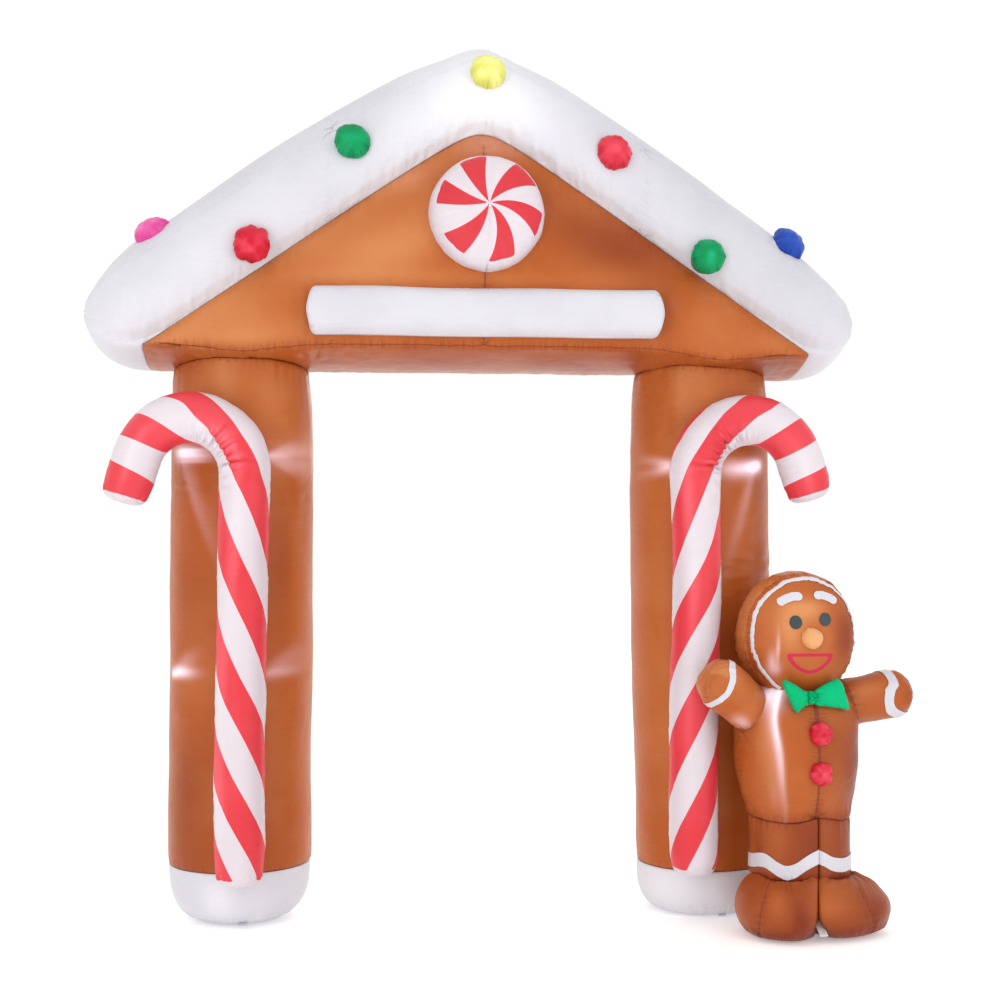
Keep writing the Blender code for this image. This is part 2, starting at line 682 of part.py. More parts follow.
def limb_frame(heading):
    """Two directions square to a limb's heading."""
    across = heading.cross(Vector((0.0, 0.0, 1.0))).normalized()
    return across, across.cross(heading).normalized()


def make_arm(side, root, heading, parent, neighbours):
    """Stuffed arm with a mitten end, and its icing cuff."""
    heading = Vector(heading).normalized()
    across, up = limb_frame(heading)
    sides = 20
    angles = [math.tau * i / sides for i in range(sides)]

    def point(along, angle, lift=0.0):
        radius = smooth_at(ARM_ROWS, along, "radius") + lift
        return (Vector(root) + heading * along
                + across * radius * math.cos(angle) + up * radius * math.sin(angle))

    rows = sorted({row.along for row in ARM_ROWS} | {0.15, 0.20})
    arm = loft("arm_" + side, [[point(along, a) for a in angles] for along in rows], BROWN, parent)
    seat(arm, *neighbours)
    rings = []
    for angle in angles:
        middle = CUFF_WAVE.middle + CUFF_WAVE.swing * math.sin(
            CUFF_WAVE.turns * angle + CUFF_WAVE.phase)
        alongs = spread(middle - CUFF_WAVE.width / 2, middle + CUFF_WAVE.width / 2, 3)
        rings.append([point(along, angle, APPLIQUE_GAP) for along in alongs]
                     + [point(along, angle, APPLIQUE_GAP + APPLIQUE_THICKNESS)
                        for along in reversed(alongs)])
    loft("icing_arm_" + side, rings, WHITE, parent, closed=True)
    return arm


def make_leg(side, way, parent):
    """Short leg, its foot and the wavy icing band round its shin."""
    half_width = (LEGS_REACH - way * LEGS_SPLIT) / 2
    sections = [Section(row.height, row.half_width * half_width, row.half_depth, row.forward)
                for row in LEG_SECTIONS]
    heights = spread(LEG_SECTIONS[0].height, LEG_SECTIONS[-1].height, 7)
    rings = section_rings(sections, heights, (way * half_width, 0.0), 24, 2.6, way)
    leg = loft("leg_" + side, moved(rings, LEGS_SPLIT), BROWN, parent)
    heights = [row.height for row in FOOT_SECTIONS]
    rings = section_rings(FOOT_SECTIONS, heights, (way * FOOT_MIDDLE, -FOOT_FORWARD), 24, 2.2, way)
    foot = loft("foot_" + side, moved(rings, FEET_SPLIT), BROWN, parent)
    seat(foot, leg)
    make_shin_icing(side, way, sections, parent)
    return leg, foot


def make_shin_icing(side, way, sections, parent):
    """Band over the leg's front and outer side; it stops short of the other leg."""
    sides = 24
    middle = (way * sections[0].half_width, 0.0)
    rings = []
    for i in range(sides):
        angle = math.tau * i / sides
        wave = SHIN_WAVE.middle + SHIN_WAVE.swing * math.sin(
            SHIN_WAVE.turns * angle + SHIN_WAVE.phase)
        low, high = wave - SHIN_WAVE.width / 2, wave + SHIN_WAVE.width / 2
        inner, outer = APPLIQUE_GAP, APPLIQUE_GAP + APPLIQUE_THICKNESS
        ring = []
        for lift, z in ((inner, low), (inner, high), (outer, high), (outer, low)):
            half_width = smooth_at(sections, z, "half_width") + lift
            half_depth = smooth_at(sections, z, "half_depth") + lift
            x, y = oval(half_width, half_depth, sides, 2.6, middle)[i]
            ring.append((x, y, z))
        rings.append(ring)
    hidden = [way * ring[2][0] < 0.010 for ring in rings]
    start = next(i for i in range(sides) if hidden[i - 1] and not hidden[i])
    kept = [rings[(start + k) % sides] for k in range(hidden.count(False))]
    return loft("icing_leg_" + side, moved(kept, LEGS_SPLIT), WHITE, parent)


def pillow(name, outline, thickness, place, finish, parent):
    """A small stuffed shape with a creased edge, from its outline in (x, z)."""
    middle = sum((Vector(p) for p in outline), Vector((0.0, 0.0))) / len(outline)
    rings = []
    for depth, scale in ((-1.0, 0.25), (-0.86, 0.60), (-0.45, 0.90), (0.0, 1.0),
                         (0.45, 0.90), (0.86, 0.60), (1.0, 0.25)):
        rings.append([])
        for point in outline:
            x, z = middle + (Vector(point) - middle) * scale
            rings[-1].append(place @ Vector((x, depth * thickness / 2, z)))
    return loft(name, rings, finish, parent)


def make_bow(parent, neighbours):
    """Stuffed bow at the neck: two flared wings and the knot between them."""
    place = Matrix.Translation((-0.010, -0.1385, 0.711)) @ Matrix.Rotation(math.radians(-3), 4, "Y")
    knot_half = 0.0150
    for side, way in (("left", -1), ("right", 1)):
        outline = [(way * x, z) for x, z in (
            (knot_half + 0.0006, 0.014), (0.047, 0.027), (0.080, 0.040), (0.089, 0.033),
            (0.095, 0.000), (0.097, -0.031), (0.090, -0.038), (0.051, -0.024),
            (knot_half + 0.0006, -0.014))]
        wing = pillow("bow_wing_" + side, outline, 0.050, place, BOW_GREEN, parent)
        seat(wing, *neighbours)
    outline = oval(knot_half, 0.022, 12, 2.6)
    knot = pillow("bow_knot", outline, 0.056, place, BOW_GREEN, parent)
    seat(knot, *neighbours)


def make_button(name, height, parent, body):
    """Padded round button on the front seam."""
    depth = (smooth_at(BODY_SECTIONS, height, "half_depth")
             + smooth_at(BODY_SECTIONS, height, "forward"))
    rings = []
    for out, share in ((-0.022, 0.90), (0.000, 0.98), (0.008, 1.0), (0.016, 0.86),
                       (0.022, 0.55), (0.024, 0.18)):
        radius = 0.0305 * share
        rings.append([(0.004 + a, -depth - out, height + b) for a, b in oval(radius, radius, 14)])
    button = loft(name, rings, RED, parent)
    seat(button, body)
    return button


def make_figure(arch, column, cane):
    figure = frame_at("figure", (*FIGURE_PLACE, 0.0), FIGURE_TURN, arch)
    body = make_body(figure, [column])
    neck = frame_at("neck", (0.0, 0.0, 0.0), HEAD_TURN, figure)
    head = make_head(neck, body)
    make_head_icing(neck)
    make_face(neck, head)
    make_arm("left", (-0.106, -0.020, 0.652), (-0.80, -0.34, 0.56), figure, [body, head, cane])
    make_arm("right", (0.104, 0.000, 0.672), (0.97, -0.06, 0.16), figure, [body, head])
    for side, way in (("left", -1), ("right", 1)):
        make_leg(side, way, figure)
    make_bow(figure, [body, head])
    make_button("button_upper", 0.599, figure, body)
    make_button("button_lower", 0.485, figure, body)
    make_tether("tether_figure", (FEET_SPLIT, -0.045, 0.0), 0.0, 0.0123, figure)
    return figure


def main():
    clear_scene()
    arch = frame_at("arch", (-MIDDLE_X, -MIDDLE_Y, 0.0))
    gable = make_gable(arch)
    roof = make_roof(arch)
    left_column, left_base = make_column("left", COLUMN_LEFT_X, arch, gable)
    right_column, right_base = make_column("right", COLUMN_RIGHT_X, arch, gable)
    make_cane("left", LEFT_CANE, -1, arch, [left_column, left_base])
    right_cane = make_cane("right", RIGHT_CANE, 1, arch, [right_column, right_base])
    make_peppermint(arch, gable)
    make_sign(arch, gable)
    for drop in GUMDROPS:
        make_gumdrop(drop, arch, roof)
    make_figure(arch, right_column, right_cane)
    make_tether("tether_left", (-0.727, -0.1224, 0.0), 0.0, 0.0, arch)
    make_tether("tether_right", (0.740, -0.1224, 0.0), 0.0, 0.0, arch)


main()
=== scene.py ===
import math

import bmesh
import bpy
import numpy as np
from mathutils import Matrix, Vector

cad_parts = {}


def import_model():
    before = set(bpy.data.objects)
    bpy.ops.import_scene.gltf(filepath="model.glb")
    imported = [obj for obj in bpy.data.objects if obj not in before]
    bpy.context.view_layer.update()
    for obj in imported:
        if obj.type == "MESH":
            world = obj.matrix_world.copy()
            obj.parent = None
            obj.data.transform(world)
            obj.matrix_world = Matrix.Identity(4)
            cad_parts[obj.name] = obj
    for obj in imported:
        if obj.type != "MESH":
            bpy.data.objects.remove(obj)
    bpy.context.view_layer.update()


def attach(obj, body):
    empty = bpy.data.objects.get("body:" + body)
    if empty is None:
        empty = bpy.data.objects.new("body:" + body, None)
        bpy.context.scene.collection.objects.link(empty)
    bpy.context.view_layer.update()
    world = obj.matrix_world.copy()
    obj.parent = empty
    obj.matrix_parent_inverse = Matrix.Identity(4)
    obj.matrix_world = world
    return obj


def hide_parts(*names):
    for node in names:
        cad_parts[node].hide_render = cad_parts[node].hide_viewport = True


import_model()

# the arch was drawn from the middle between its columns; this moves that point to the frame's own
archShift = np.array([-0.049, 0.11775, 0.0])
tau = math.tau

camera = {
    "place": (-0.4891, -4.91305, 1.19),
    "tilt": 91.264,              # degrees, 90 is level
    "turn": -5.903,
    "lens": 57.1,
}
studio = {
    "worldLight": 1.02,
    "floorColour": (0.93, 0.93, 0.93), "floorLift": 0.28,
    # name, place, aimed at, width, height, watts, colour
    "softboxes": [
        ("leftBox", (-2.8, -4.2, 1.7), (-0.3, 0.0, 1.2), 0.5, 3.2, 34, (1.0, 0.985, 0.97)),
        ("rightBox", (3.2, -3.8, 1.7), (0.5, 0.0, 1.2), 0.4, 3.2, 24, (0.98, 0.99, 1.0)),
        ("topBox", (0.2, -2.4, 5.0), (0.0, 0.0, 1.6), 3.4, 1.8, 14, (1.0, 1.0, 1.0)),
        ("backBox", (0.6, 4.2, 3.0), (0.0, 0.0, 1.3), 0.8, 3.0, 26, (1.0, 1.0, 1.0)),
    ],
}


# reads a table with smooth curves between its rows; the first column is the position
def smoothTable(rows, at):
    table = np.array(rows, float)
    place, values = table[:, 0], table[:, 1:]
    count = len(place)
    at = np.clip(np.asarray(at, float), place[0], place[-1])
    low = np.clip(np.searchsorted(place, at, side="right") - 1, 0, count - 2)
    before, after = np.maximum(np.arange(count) - 1, 0), np.minimum(np.arange(count) + 1, count - 1)
    slope = (values[after] - values[before]) / (place[after] - place[before])[:, None]
    span = (place[low + 1] - place[low])[..., None]
    t = (at - place[low])[..., None] / span
    rise = values[low + 1] - values[low]
    start, end = slope[low] * span, slope[low + 1] * span
    return (values[low] + start * t + (3 * rise - 2 * start - end) * t**2
            + (start + end - 2 * rise) * t**3)


noiseTable = np.random.default_rng(11).uniform(-1, 1, 8192)


# smooth lumps about "size" metres apart, from -1 to 1
def softNoise(points, size, seed=0):
    grid = np.asarray(points, float) / size
    cell = np.floor(grid).astype(np.int64)
    part = grid - cell
    part = part * part * (3 - 2 * part)
    total = 0.0
    for x in (0, 1):
        for y in (0, 1):
            for z in (0, 1):
                key = ((cell[..., 0] + x) * 73856093 ^ (cell[..., 1] + y) * 19349663
                       ^ (cell[..., 2] + z) * 83492791 ^ (seed + 1) * 39916801)
                weight = (np.where(x, part[..., 0], 1 - part[..., 0])
                          * np.where(y, part[..., 1], 1 - part[..., 1])
                          * np.where(z, part[..., 2], 1 - part[..., 2]))
                total = total + noiseTable[key & 8191] * weight
    return total


# folds that run square to a seam: full between sharp valleys, about -0.5 to 1
def gathers(run, away, pitch, seed, stretch=6.0):
    return gathers3(np.stack(np.broadcast_arrays(run, away / stretch, 0.37 * seed), -1), pitch, seed)


def gathers3(place, pitch, seed):
    coarse = np.abs(softNoise(place, pitch, seed))
    fine = np.abs(softNoise(place, pitch * 0.42, seed + 5))
    return 1.9 * coarse + 0.7 * fine - 0.75


# the same round a circle, so that the folds join up
def gathersRound(angle, radius, away, pitch, seed, stretch=6.0):
    return gathers3(np.stack(np.broadcast_arrays(radius * np.cos(angle), radius * np.sin(angle),
                                                 away / stretch + 0.37 * seed), -1), pitch, seed)


# folds of the given depth beside a seam, gone at about "reach" from it
def seamFolds(depth, run, away, pitch, seed, reach):
    return depth * gathers(run, away, pitch, seed) * np.exp(-away / reach)


def ringFolds(depth, angle, radius, away, pitch, seed, reach):
    return depth * gathersRound(angle, radius, away, pitch, seed) * np.exp(-away / reach)


# a hump of height 1 at "at", gone about "reach" away
def hump(value, at, reach):
    return np.exp(-(((value - at) / reach) ** 2))


# soft spots for painted light, shade and glow: each row is place across, place up, reach left, right,
# down and up, lean, amount
def spots(across, up, rows):
    total = 0.0
    for atAcross, atUp, left, right, down, above, lean, amount in rows:
        rise = up - atUp
        aside = across - atAcross - lean * rise
        total = total + amount * np.exp(-(aside / np.where(aside < 0, left, right)) ** 2
                                        - (rise / np.where(rise < 0, down, above)) ** 2)
    return total


# slow unevenness of thin cloth lit from both sides
def uneven(points, seed, amount=1.0):
    return amount * 0.16 * softNoise(points, 0.22, seed)


def angleGap(a, b):
    return (a - b + math.pi) % tau - math.pi


def degreesRound(angle):
    return np.degrees(angleGap(angle, 0.0))


def crossGrid(first, second):
    return np.meshgrid(first, second, indexing="ij")


# evenly spaced angles once round
def onceRound(count, start=-math.pi):
    return np.linspace(start, start + tau, count, endpoint=False)


def discPlace(share, angle, forward=0.0):
    return np.stack([share * np.cos(angle), share * np.sin(angle), share * 0 + forward], -1)


# each column of a table on its own
def readRows(rows, at):
    return np.moveaxis(smoothTable(rows, at), -1, 0)


def unit(vectors):
    return vectors / np.maximum(np.linalg.norm(vectors, axis=-1, keepdims=True), 1e-12)


# points on a cloth surface: base(u, v) gives the shape and relief(u, v, points) how far it stands off it
def layCloth(base, relief, u, v, lift=0.0, steps=(1e-3, 1e-3)):
    u, v = np.broadcast_arrays(np.asarray(u, float), np.asarray(v, float))
    points = base(u, v)
    overU = base(u + steps[0], v) - base(u - steps[0], v)
    overV = base(u, v + steps[1]) - base(u, v - steps[1])
    outward = unit(np.cross(overU, overV))
    height = relief(u, v, points) if relief else 0.0
    return points + outward * np.asarray(height + lift)[..., None]


# the ring that goes from each outer point towards its inner one, up to a neighbour's surface
def meetSurface(outer, inner, isInside, sink=0.0):
    low, high = np.zeros(outer.shape[:-1]), np.ones(outer.shape[:-1])
    for _ in range(18):
        middle = (low + high) / 2
        within = isInside(outer + (inner - outer) * middle[..., None])
        high = np.where(within, middle, high)
        low = np.where(within, low, middle)
    way = inner - outer
    length = np.maximum(np.linalg.norm(way, axis=-1), 1e-9)
    return outer + way * np.minimum(high + sink / length, 1.0)[..., None]


# skins a grid of points[row, column]: columns close round, and each end is closed by a fan
def makeSkin(name, points, marks=None, sharpAngle=None):
    rows, columns = points.shape[:2]
    ends = np.array([points[0].mean(0), points[-1].mean(0)])
    vertices = np.vstack([points.reshape(-1, 3), ends])
    row, column = crossGrid(np.arange(rows - 1), np.arange(columns))
    after = (column + 1) % columns
    quads = np.stack([row * columns + column, row * columns + after,
                      (row + 1) * columns + after, (row + 1) * columns + column], -1).reshape(-1, 4)
    ring = np.arange(columns)
    nextInRing = (ring + 1) % columns
    firstFan = np.stack([np.full(columns, rows * columns), nextInRing, ring], -1)
    last = (rows - 1) * columns
    lastFan = np.stack([np.full(columns, rows * columns + 1), last + ring, last + nextInRing], -1)

    # metres round and along, so that the weave keeps its size
    around = np.linalg.norm(np.roll(points, -1, 1) - points, axis=-1).sum(1).mean()
    along = np.append(0, np.cumsum(np.linalg.norm(np.diff(points, axis=0), axis=-1).mean(1)))
    u0, u1 = column / columns * around, (column + 1) / columns * around
    quadMap = np.stack([np.stack([u0, along[row]], -1), np.stack([u1, along[row]], -1),
                        np.stack([u1, along[row + 1]], -1), np.stack([u0, along[row + 1]], -1)], 2)
    fanMaps = []
    for fan, centre in ((firstFan, ends[0]), (lastFan, ends[1])):
        spokes = vertices[fan] - centre
        side = unit(spokes[0, 1])
        up = unit(np.cross(np.cross(spokes[0, 1], spokes[columns // 4, 1]), side))
        fanMaps.append(np.stack([spokes @ side, spokes @ up], -1))

    corners = np.concatenate([quads.ravel(), firstFan.ravel(), lastFan.ravel()])
    clothMap = np.concatenate([quadMap.reshape(-1, 2)] + [m.reshape(-1, 2) for m in fanMaps])
    sizes = np.concatenate([np.full(len(quads), 4), np.full(2 * columns, 3)])
    starts = np.append(0, np.cumsum(sizes)[:-1])
    a, b, c, d = (vertices[quads[:, i]] for i in range(4))
    volume = np.einsum("ij,ij->", a, np.cross(b, c)) + np.einsum("ij,ij->", a, np.cross(c, d))
    if volume < 0:               # turn every face round
        order = np.concatenate([np.arange(s + n - 1, s - 1, -1) for s, n in zip(starts, sizes)])
        corners, clothMap = corners[order], clothMap[order]

    mesh = bpy.data.meshes.new(name)
    mesh.vertices.add(len(vertices))
    mesh.vertices.foreach_set("co", vertices.astype(np.float32).ravel())
    mesh.loops.add(len(corners))
    mesh.loops.foreach_set("vertex_index", corners.astype(np.int32))
    mesh.polygons.add(len(sizes))
    mesh.polygons.foreach_set("loop_start", starts.astype(np.int32))
    mesh.update(calc_edges=True)
    mesh.uv_layers.new(name="clothMap").uv.foreach_set("vector", clothMap.astype(np.float32).ravel())
    for mark, values in {"paintedLightAndMottle": 0.0, "glow": 0.0, **(marks or {})}.items():
        values = np.broadcast_to(values, (rows, columns))
        filled = np.concatenate([values.ravel(), [values[0].mean(), values[-1].mean()]])
        mesh.attributes.new(mark, "FLOAT", "POINT").data.foreach_set("value", filled.astype(np.float32))
    mesh.shade_smooth()
    if sharpAngle:
        mesh.set_sharp_from_angle(angle=math.radians(sharpAngle))
    piece = bpy.data.objects.new(name, mesh)
    bpy.context.scene.collection.objects.link(piece)
    return piece


# hands a finished piece to the frame
def dress(piece, node, material):
    piece.data.materials.append(material)
    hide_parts(node)
    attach(piece, "root")
    return piece


# what a cloth has unless its own row says otherwise
plainCloth = {"roughness": 0.28, "specular": 0.22, "sheen": 0.02, "sheenTint": (1.0, 1.0, 1.0),
              "innerLight": 0.05, "creaseShade": 0.40, "strands": 0.5}
# the cloths by record slot: colour, its darkest and lightest tone as shaded and lit copies for painted
# shade and highlights, and the seams' colour
cloths = {
    "brown_cloth": {
        "colour": (0.420, 0.096, 0.0160), "deep": (0.205, 0.029, 0.005), "light": (0.62, 0.250, 0.090),
        "seam": (0.170, 0.030, 0.014),
        "roughness": 0.34, "specular": 0.20, "sheen": 0.025, "sheenTint": (0.95, 0.55, 0.45),
    },
    "white_cloth": {
        "colour": (0.590, 0.580, 0.622), "deep": (0.46, 0.448, 0.485), "light": (0.80, 0.795, 0.830),
        "seam": (0.675, 0.665, 0.710), "roughness": 0.38, "innerLight": 0.03, "creaseShade": 0.0,
    },
    "candy_stripe_cloth": {      # white, with red as the second colour
        "colour": (0.636, 0.575, 0.613), "deep": (0.50, 0.42, 0.46), "light": (0.71, 0.668, 0.70),
        "second": (0.655, 0.0125, 0.024), "secondLight": (0.82, 0.115, 0.145),
        "secondDeep": (0.52, 0.002, 0.010), "seam": (0.66, 0.58, 0.62),
        "roughness": 0.32, "specular": 0.18, "sheenTint": (1.0, 0.8, 0.84), "creaseShade": 0.0,
    },
    "red_cloth": {
        "colour": (0.560, 0.004, 0.024), "deep": (0.27, 0.001, 0.008), "light": (0.86, 0.105, 0.155),
        "seam": (0.30, 0.003, 0.012), "roughness": 0.27, "sheenTint": (1.0, 0.6, 0.65),
    },
    "green_cloth": {
        "colour": (0.0, 0.255, 0.080), "deep": (0.0, 0.085, 0.028), "light": (0.010, 0.43, 0.18),
        "seam": (0.001, 0.11, 0.04), "specular": 0.14, "sheen": 0.0, "sheenTint": (0.6, 1.0, 0.8),
    },
    "yellow_cloth": {
        "colour": (0.70, 0.68, 0.14), "deep": (0.46, 0.42, 0.05), "light": (0.84, 0.84, 0.42),
        "seam": (0.50, 0.46, 0.06), "specular": 0.24, "sheenTint": (1.0, 1.0, 0.7), "innerLight": 0.06,
    },
    "pink_cloth": {
        "colour": (0.66, 0.040, 0.27), "deep": (0.40, 0.012, 0.15), "light": (0.80, 0.22, 0.46),
        "seam": (0.50, 0.02, 0.20), "specular": 0.24, "sheenTint": (1.0, 0.7, 0.85),
    },
    "blue_cloth": {
        "colour": (0.006, 0.048, 0.36), "deep": (0.002, 0.014, 0.15), "light": (0.03, 0.12, 0.55),
        "seam": (0.006, 0.020, 0.20), "sheenTint": (0.6, 0.7, 1.0), "innerLight": 0.04,
    },
    "bow_green_cloth": {
        "colour": (0.0, 0.46, 0.175), "deep": (0.0, 0.23, 0.08), "light": (0.012, 0.62, 0.33),
        "seam": (0.0, 0.26, 0.09),
        "roughness": 0.36, "specular": 0.08, "sheen": 0.0, "sheenTint": (0.6, 1.0, 0.8),
        "innerLight": 0.02,
    },
    "black_cloth": {
        "colour": (0.040, 0.055, 0.058), "deep": (0.015, 0.018, 0.020), "light": (0.09, 0.10, 0.10),
        "seam": (0.02, 0.02, 0.02),
        "roughness": 0.50, "specular": 0.30, "sheen": 0.05, "sheenTint": (0.8, 0.9, 0.9),
        "innerLight": 0.0,
    },
    "white_webbing": {
        "colour": (0.76, 0.77, 0.82), "deep": (0.45, 0.45, 0.50), "light": (0.84, 0.85, 0.90),
        "seam": (0.6, 0.6, 0.66), "roughness": 0.62, "specular": 0.30, "sheen": 0.20, "innerLight": 0.0,
    },
}
weave = {
    "pitch": 0.0011,             # metres from yarn to yarn
    "depth": 0.00010,
    "crinklePitch": 0.022,       # small all-over wrinkles
    "crinkleDepth": 0.0011,
    "strandPitch": 0.0075,       # fine level creases in patches
    "strandDepth": 0.0011,
    "puckerPitch": 0.010,        # fine creases beside a seam
    "puckerDepth": 0.0016,
    "puckerReach": 0.045,
    "seamWidth": 0.0034,         # the double cloth of the seam, seen as a darker line
    "stitchPitch": 0.0030,
    "glowColour": (0.97, 0.76, 0.84),
    "lampColour": (0.93, 0.86, 1.0),
}


# a node tree with short ways to add and join nodes
class NodeBench:
    def __init__(self, name):
        self.material = bpy.data.materials.new(name)
        self.material.use_nodes = True
        self.tree = self.material.node_tree
        self.shader = self.tree.nodes["Principled BSDF"]

    def plug(self, socket, value):
        if isinstance(value, bpy.types.NodeSocket):
            self.tree.links.new(value, socket)
        elif value is not None:
            socket.default_value = (*value, 1.0) if socket.type == "RGBA" and len(value) == 3 else value

    def add(self, kind, settings=None, **sockets):
        node = self.tree.nodes.new(kind)
        for key, value in (settings or {}).items():
            setattr(node, key, value)
        for key, value in sockets.items():
            self.plug(node.inputs[key.replace("_", " ")], value)
        return node

    def math(self, operation, first, second=None, clamp=False):
        node = self.add("ShaderNodeMath", {"operation": operation, "use_clamp": clamp})
        self.plug(node.inputs[0], first)
        self.plug(node.inputs[1], second)
        return node.outputs[0]

    def mark(self, name):
        return self.add("ShaderNodeAttribute", {"attribute_name": name}).outputs["Fac"]

    def mix(self, share, first, second):
        node = self.add("ShaderNodeMix", {"data_type": "RGBA"})
        self.plug(node.inputs[0], share)
        self.plug(node.inputs[6], first)
        self.plug(node.inputs[7], second)
        return node.outputs[2]

    # 1 where value is low, falling to 0 at high
    def fade(self, value, low, high):
        node = self.add("ShaderNodeMapRange", {"interpolation_type": "SMOOTHSTEP"})
        self.plug(node.inputs["Value"], value)
        for key, number in (("From Min", low), ("From Max", high), ("To Min", 1.0), ("To Max", 0.0)):
            node.inputs[key].default_value = number
        return node.outputs["Result"]

    def bump(self, height, distance, strength=1.0, after=None):
        node = self.add("ShaderNodeBump", Height=height, Distance=distance, Strength=strength)
        if after is not None:
            self.plug(node.inputs["Normal"], after)
        return node.outputs["Normal"]


# satin cloth: woven, wrinkled, darker and stitched at its seams, with painted shade in the creases beside
# them and painted light and shade from its marks, and lit a little from inside
def clothMaterial(name, cloth, painted=None, seamed=True, glowing=False, ribbed=False):
    cloth = {**plainCloth, **cloth}
    bench = NodeBench(name)
    place = bench.add("ShaderNodeTexCoord").outputs["Object"]
    yarnMap = bench.add("ShaderNodeUVMap", {"uv_map": "clothMap"}).outputs["UV"]

    # colour: soft cloudy mottle with the painted light and shade of the mark, then the second colour,
    # then the seams
    clouds = bench.add("ShaderNodeTexNoise", Vector=place, Scale=5.0, Detail=3.0).outputs["Fac"]
    mottle = bench.add("ShaderNodeTexNoise", Vector=place, Scale=38.0, Detail=4.0).outputs["Fac"]
    paintedLightAndMottle = bench.math("SUBTRACT", 1.0, bench.fade(clouds, 0.36, 0.66))
    # the mark paints light above 0, toward the lit colour, and shade below 0, toward the shaded colour
    shade = bench.mark("paintedLightAndMottle")
    lighter = bench.math("MAXIMUM", shade, 0.0)
    darker = bench.math("MULTIPLY", bench.math("MINIMUM", shade, 0.0), -1.0)

    def withLightAndMottle(colour, light, deep):
        cloudy = bench.mix(bench.math("MULTIPLY", paintedLightAndMottle, 0.16), colour, light)
        return bench.mix(darker, bench.mix(lighter, cloudy, light), deep)

    colour = withLightAndMottle(cloth["colour"], cloth["light"], cloth["deep"])
    if painted:
        second = withLightAndMottle(painted["colour"], painted["light"], painted["deep"])
        edge = bench.math("ADD", bench.math("MULTIPLY", bench.mark("paint"), painted["sharpness"]), 0.5,
                          True)
        colour = bench.mix(edge, colour, second)

    # woven yarns, seen close
    across = bench.add("ShaderNodeTexWave", {"bands_direction": "X"}, Vector=yarnMap,
                       Scale=tau / 20 / weave["pitch"]).outputs["Fac"]
    upward = bench.add("ShaderNodeTexWave", {"bands_direction": "Y"}, Vector=yarnMap,
                       Scale=tau / 20 / weave["pitch"]).outputs["Fac"]
    yarns = bench.math("MAXIMUM", across, upward)
    if ribbed:
        ribs = bench.add("ShaderNodeTexWave", {"bands_direction": "X"}, Vector=yarnMap,
                         Scale=tau / 20 / (weave["pitch"] * 2.2)).outputs["Fac"]
        yarns = bench.math("ADD", yarns, bench.math("MULTIPLY", ribs, 3.0))
    colour = bench.mix(bench.math("MULTIPLY", bench.math("SUBTRACT", 1.0, yarns, True), 0.22),
                       colour, cloth["deep"])
    normal = bench.bump(yarns, weave["depth"] * (3.0 if ribbed else 1.0), 0.6)

    # small crinkles everywhere
    stretched = bench.add("ShaderNodeMapping", {"vector_type": "POINT"}, Vector=place,
                          Scale=(1.0, 1.0, 2.2)).outputs["Vector"]
    crinkle = bench.add("ShaderNodeTexNoise", Vector=stretched, Scale=0.45 / weave["crinklePitch"],
                        Detail=5.0, Roughness=0.45, Distortion=0.8).outputs["Fac"]
    normal = bench.bump(crinkle, weave["crinkleDepth"] * 4, 0.30, normal)
    level = bench.add("ShaderNodeMapping", {"vector_type": "POINT"}, Vector=place,
                      Scale=(1.0, 1.0, 7.0)).outputs["Vector"]
    strands = bench.add("ShaderNodeTexNoise", Vector=level, Scale=0.10 / weave["strandPitch"],
                        Detail=4.0, Roughness=0.6, Distortion=0.4).outputs["Fac"]
    patches = bench.add("ShaderNodeTexNoise", Vector=place, Scale=7.0, Detail=1.0).outputs["Fac"]
    strands = bench.math("MULTIPLY", strands,
                         bench.math("SUBTRACT", 1.0, bench.fade(patches, 0.42, 0.62)))
    normal = bench.bump(strands, weave["strandDepth"] * 4, cloth["strands"], normal)

    roughness = bench.math("ADD", cloth["roughness"] - 0.05, bench.math("MULTIPLY", mottle, 0.10))
    if seamed:
        seam, run = bench.mark("seam"), bench.mark("run")
        besideSeam = bench.fade(seam, 0.0, weave["puckerReach"])
        pairs = bench.add("ShaderNodeCombineXYZ", X=run, Y=bench.math("MULTIPLY", seam, 0.16)).outputs[0]
        creases = bench.add("ShaderNodeTexNoise", Vector=pairs, Scale=0.5 / weave["puckerPitch"],
                            Detail=3.0, Roughness=0.55, Distortion=0.3).outputs["Fac"]
        creases = bench.math("ABSOLUTE", bench.math("SUBTRACT", creases, 0.5))
        shaped = bench.math("MULTIPLY", creases, bench.math("POWER", besideSeam, 1.6))
        normal = bench.bump(shaped, weave["puckerDepth"] * 5, 0.8, normal)
        # painted shade in the crease valleys beside a seam
        valley = bench.math("MULTIPLY", bench.fade(creases, 0.0, 0.06),
                            bench.math("POWER", besideSeam, 2.0))
        colour = bench.mix(bench.math("MULTIPLY", valley, cloth["creaseShade"]), colour, cloth["deep"])
        line = bench.fade(seam, weave["seamWidth"] * 0.75, weave["seamWidth"])
        colour = bench.mix(bench.math("MULTIPLY", line, 0.66), colour, cloth["seam"])
        # a row of stitches on each side of the seam
        row = bench.fade(bench.math("ABSOLUTE", bench.math("SUBTRACT", seam, 0.0055)), 0.0002, 0.0008)
        stitch = bench.math("SINE", bench.math("MULTIPLY", run, tau / weave["stitchPitch"]))
        stitches = bench.math("MULTIPLY", row, bench.math("SUBTRACT", 1.0, bench.fade(stitch, -0.2, 0.3)))
        colour = bench.mix(bench.math("MULTIPLY", stitches, 0.10), colour, cloth["seam"])
        normal = bench.bump(stitches, 0.0005, 0.4, normal)
        roughness = bench.math("ADD", roughness, bench.math("MULTIPLY", besideSeam, 0.05))

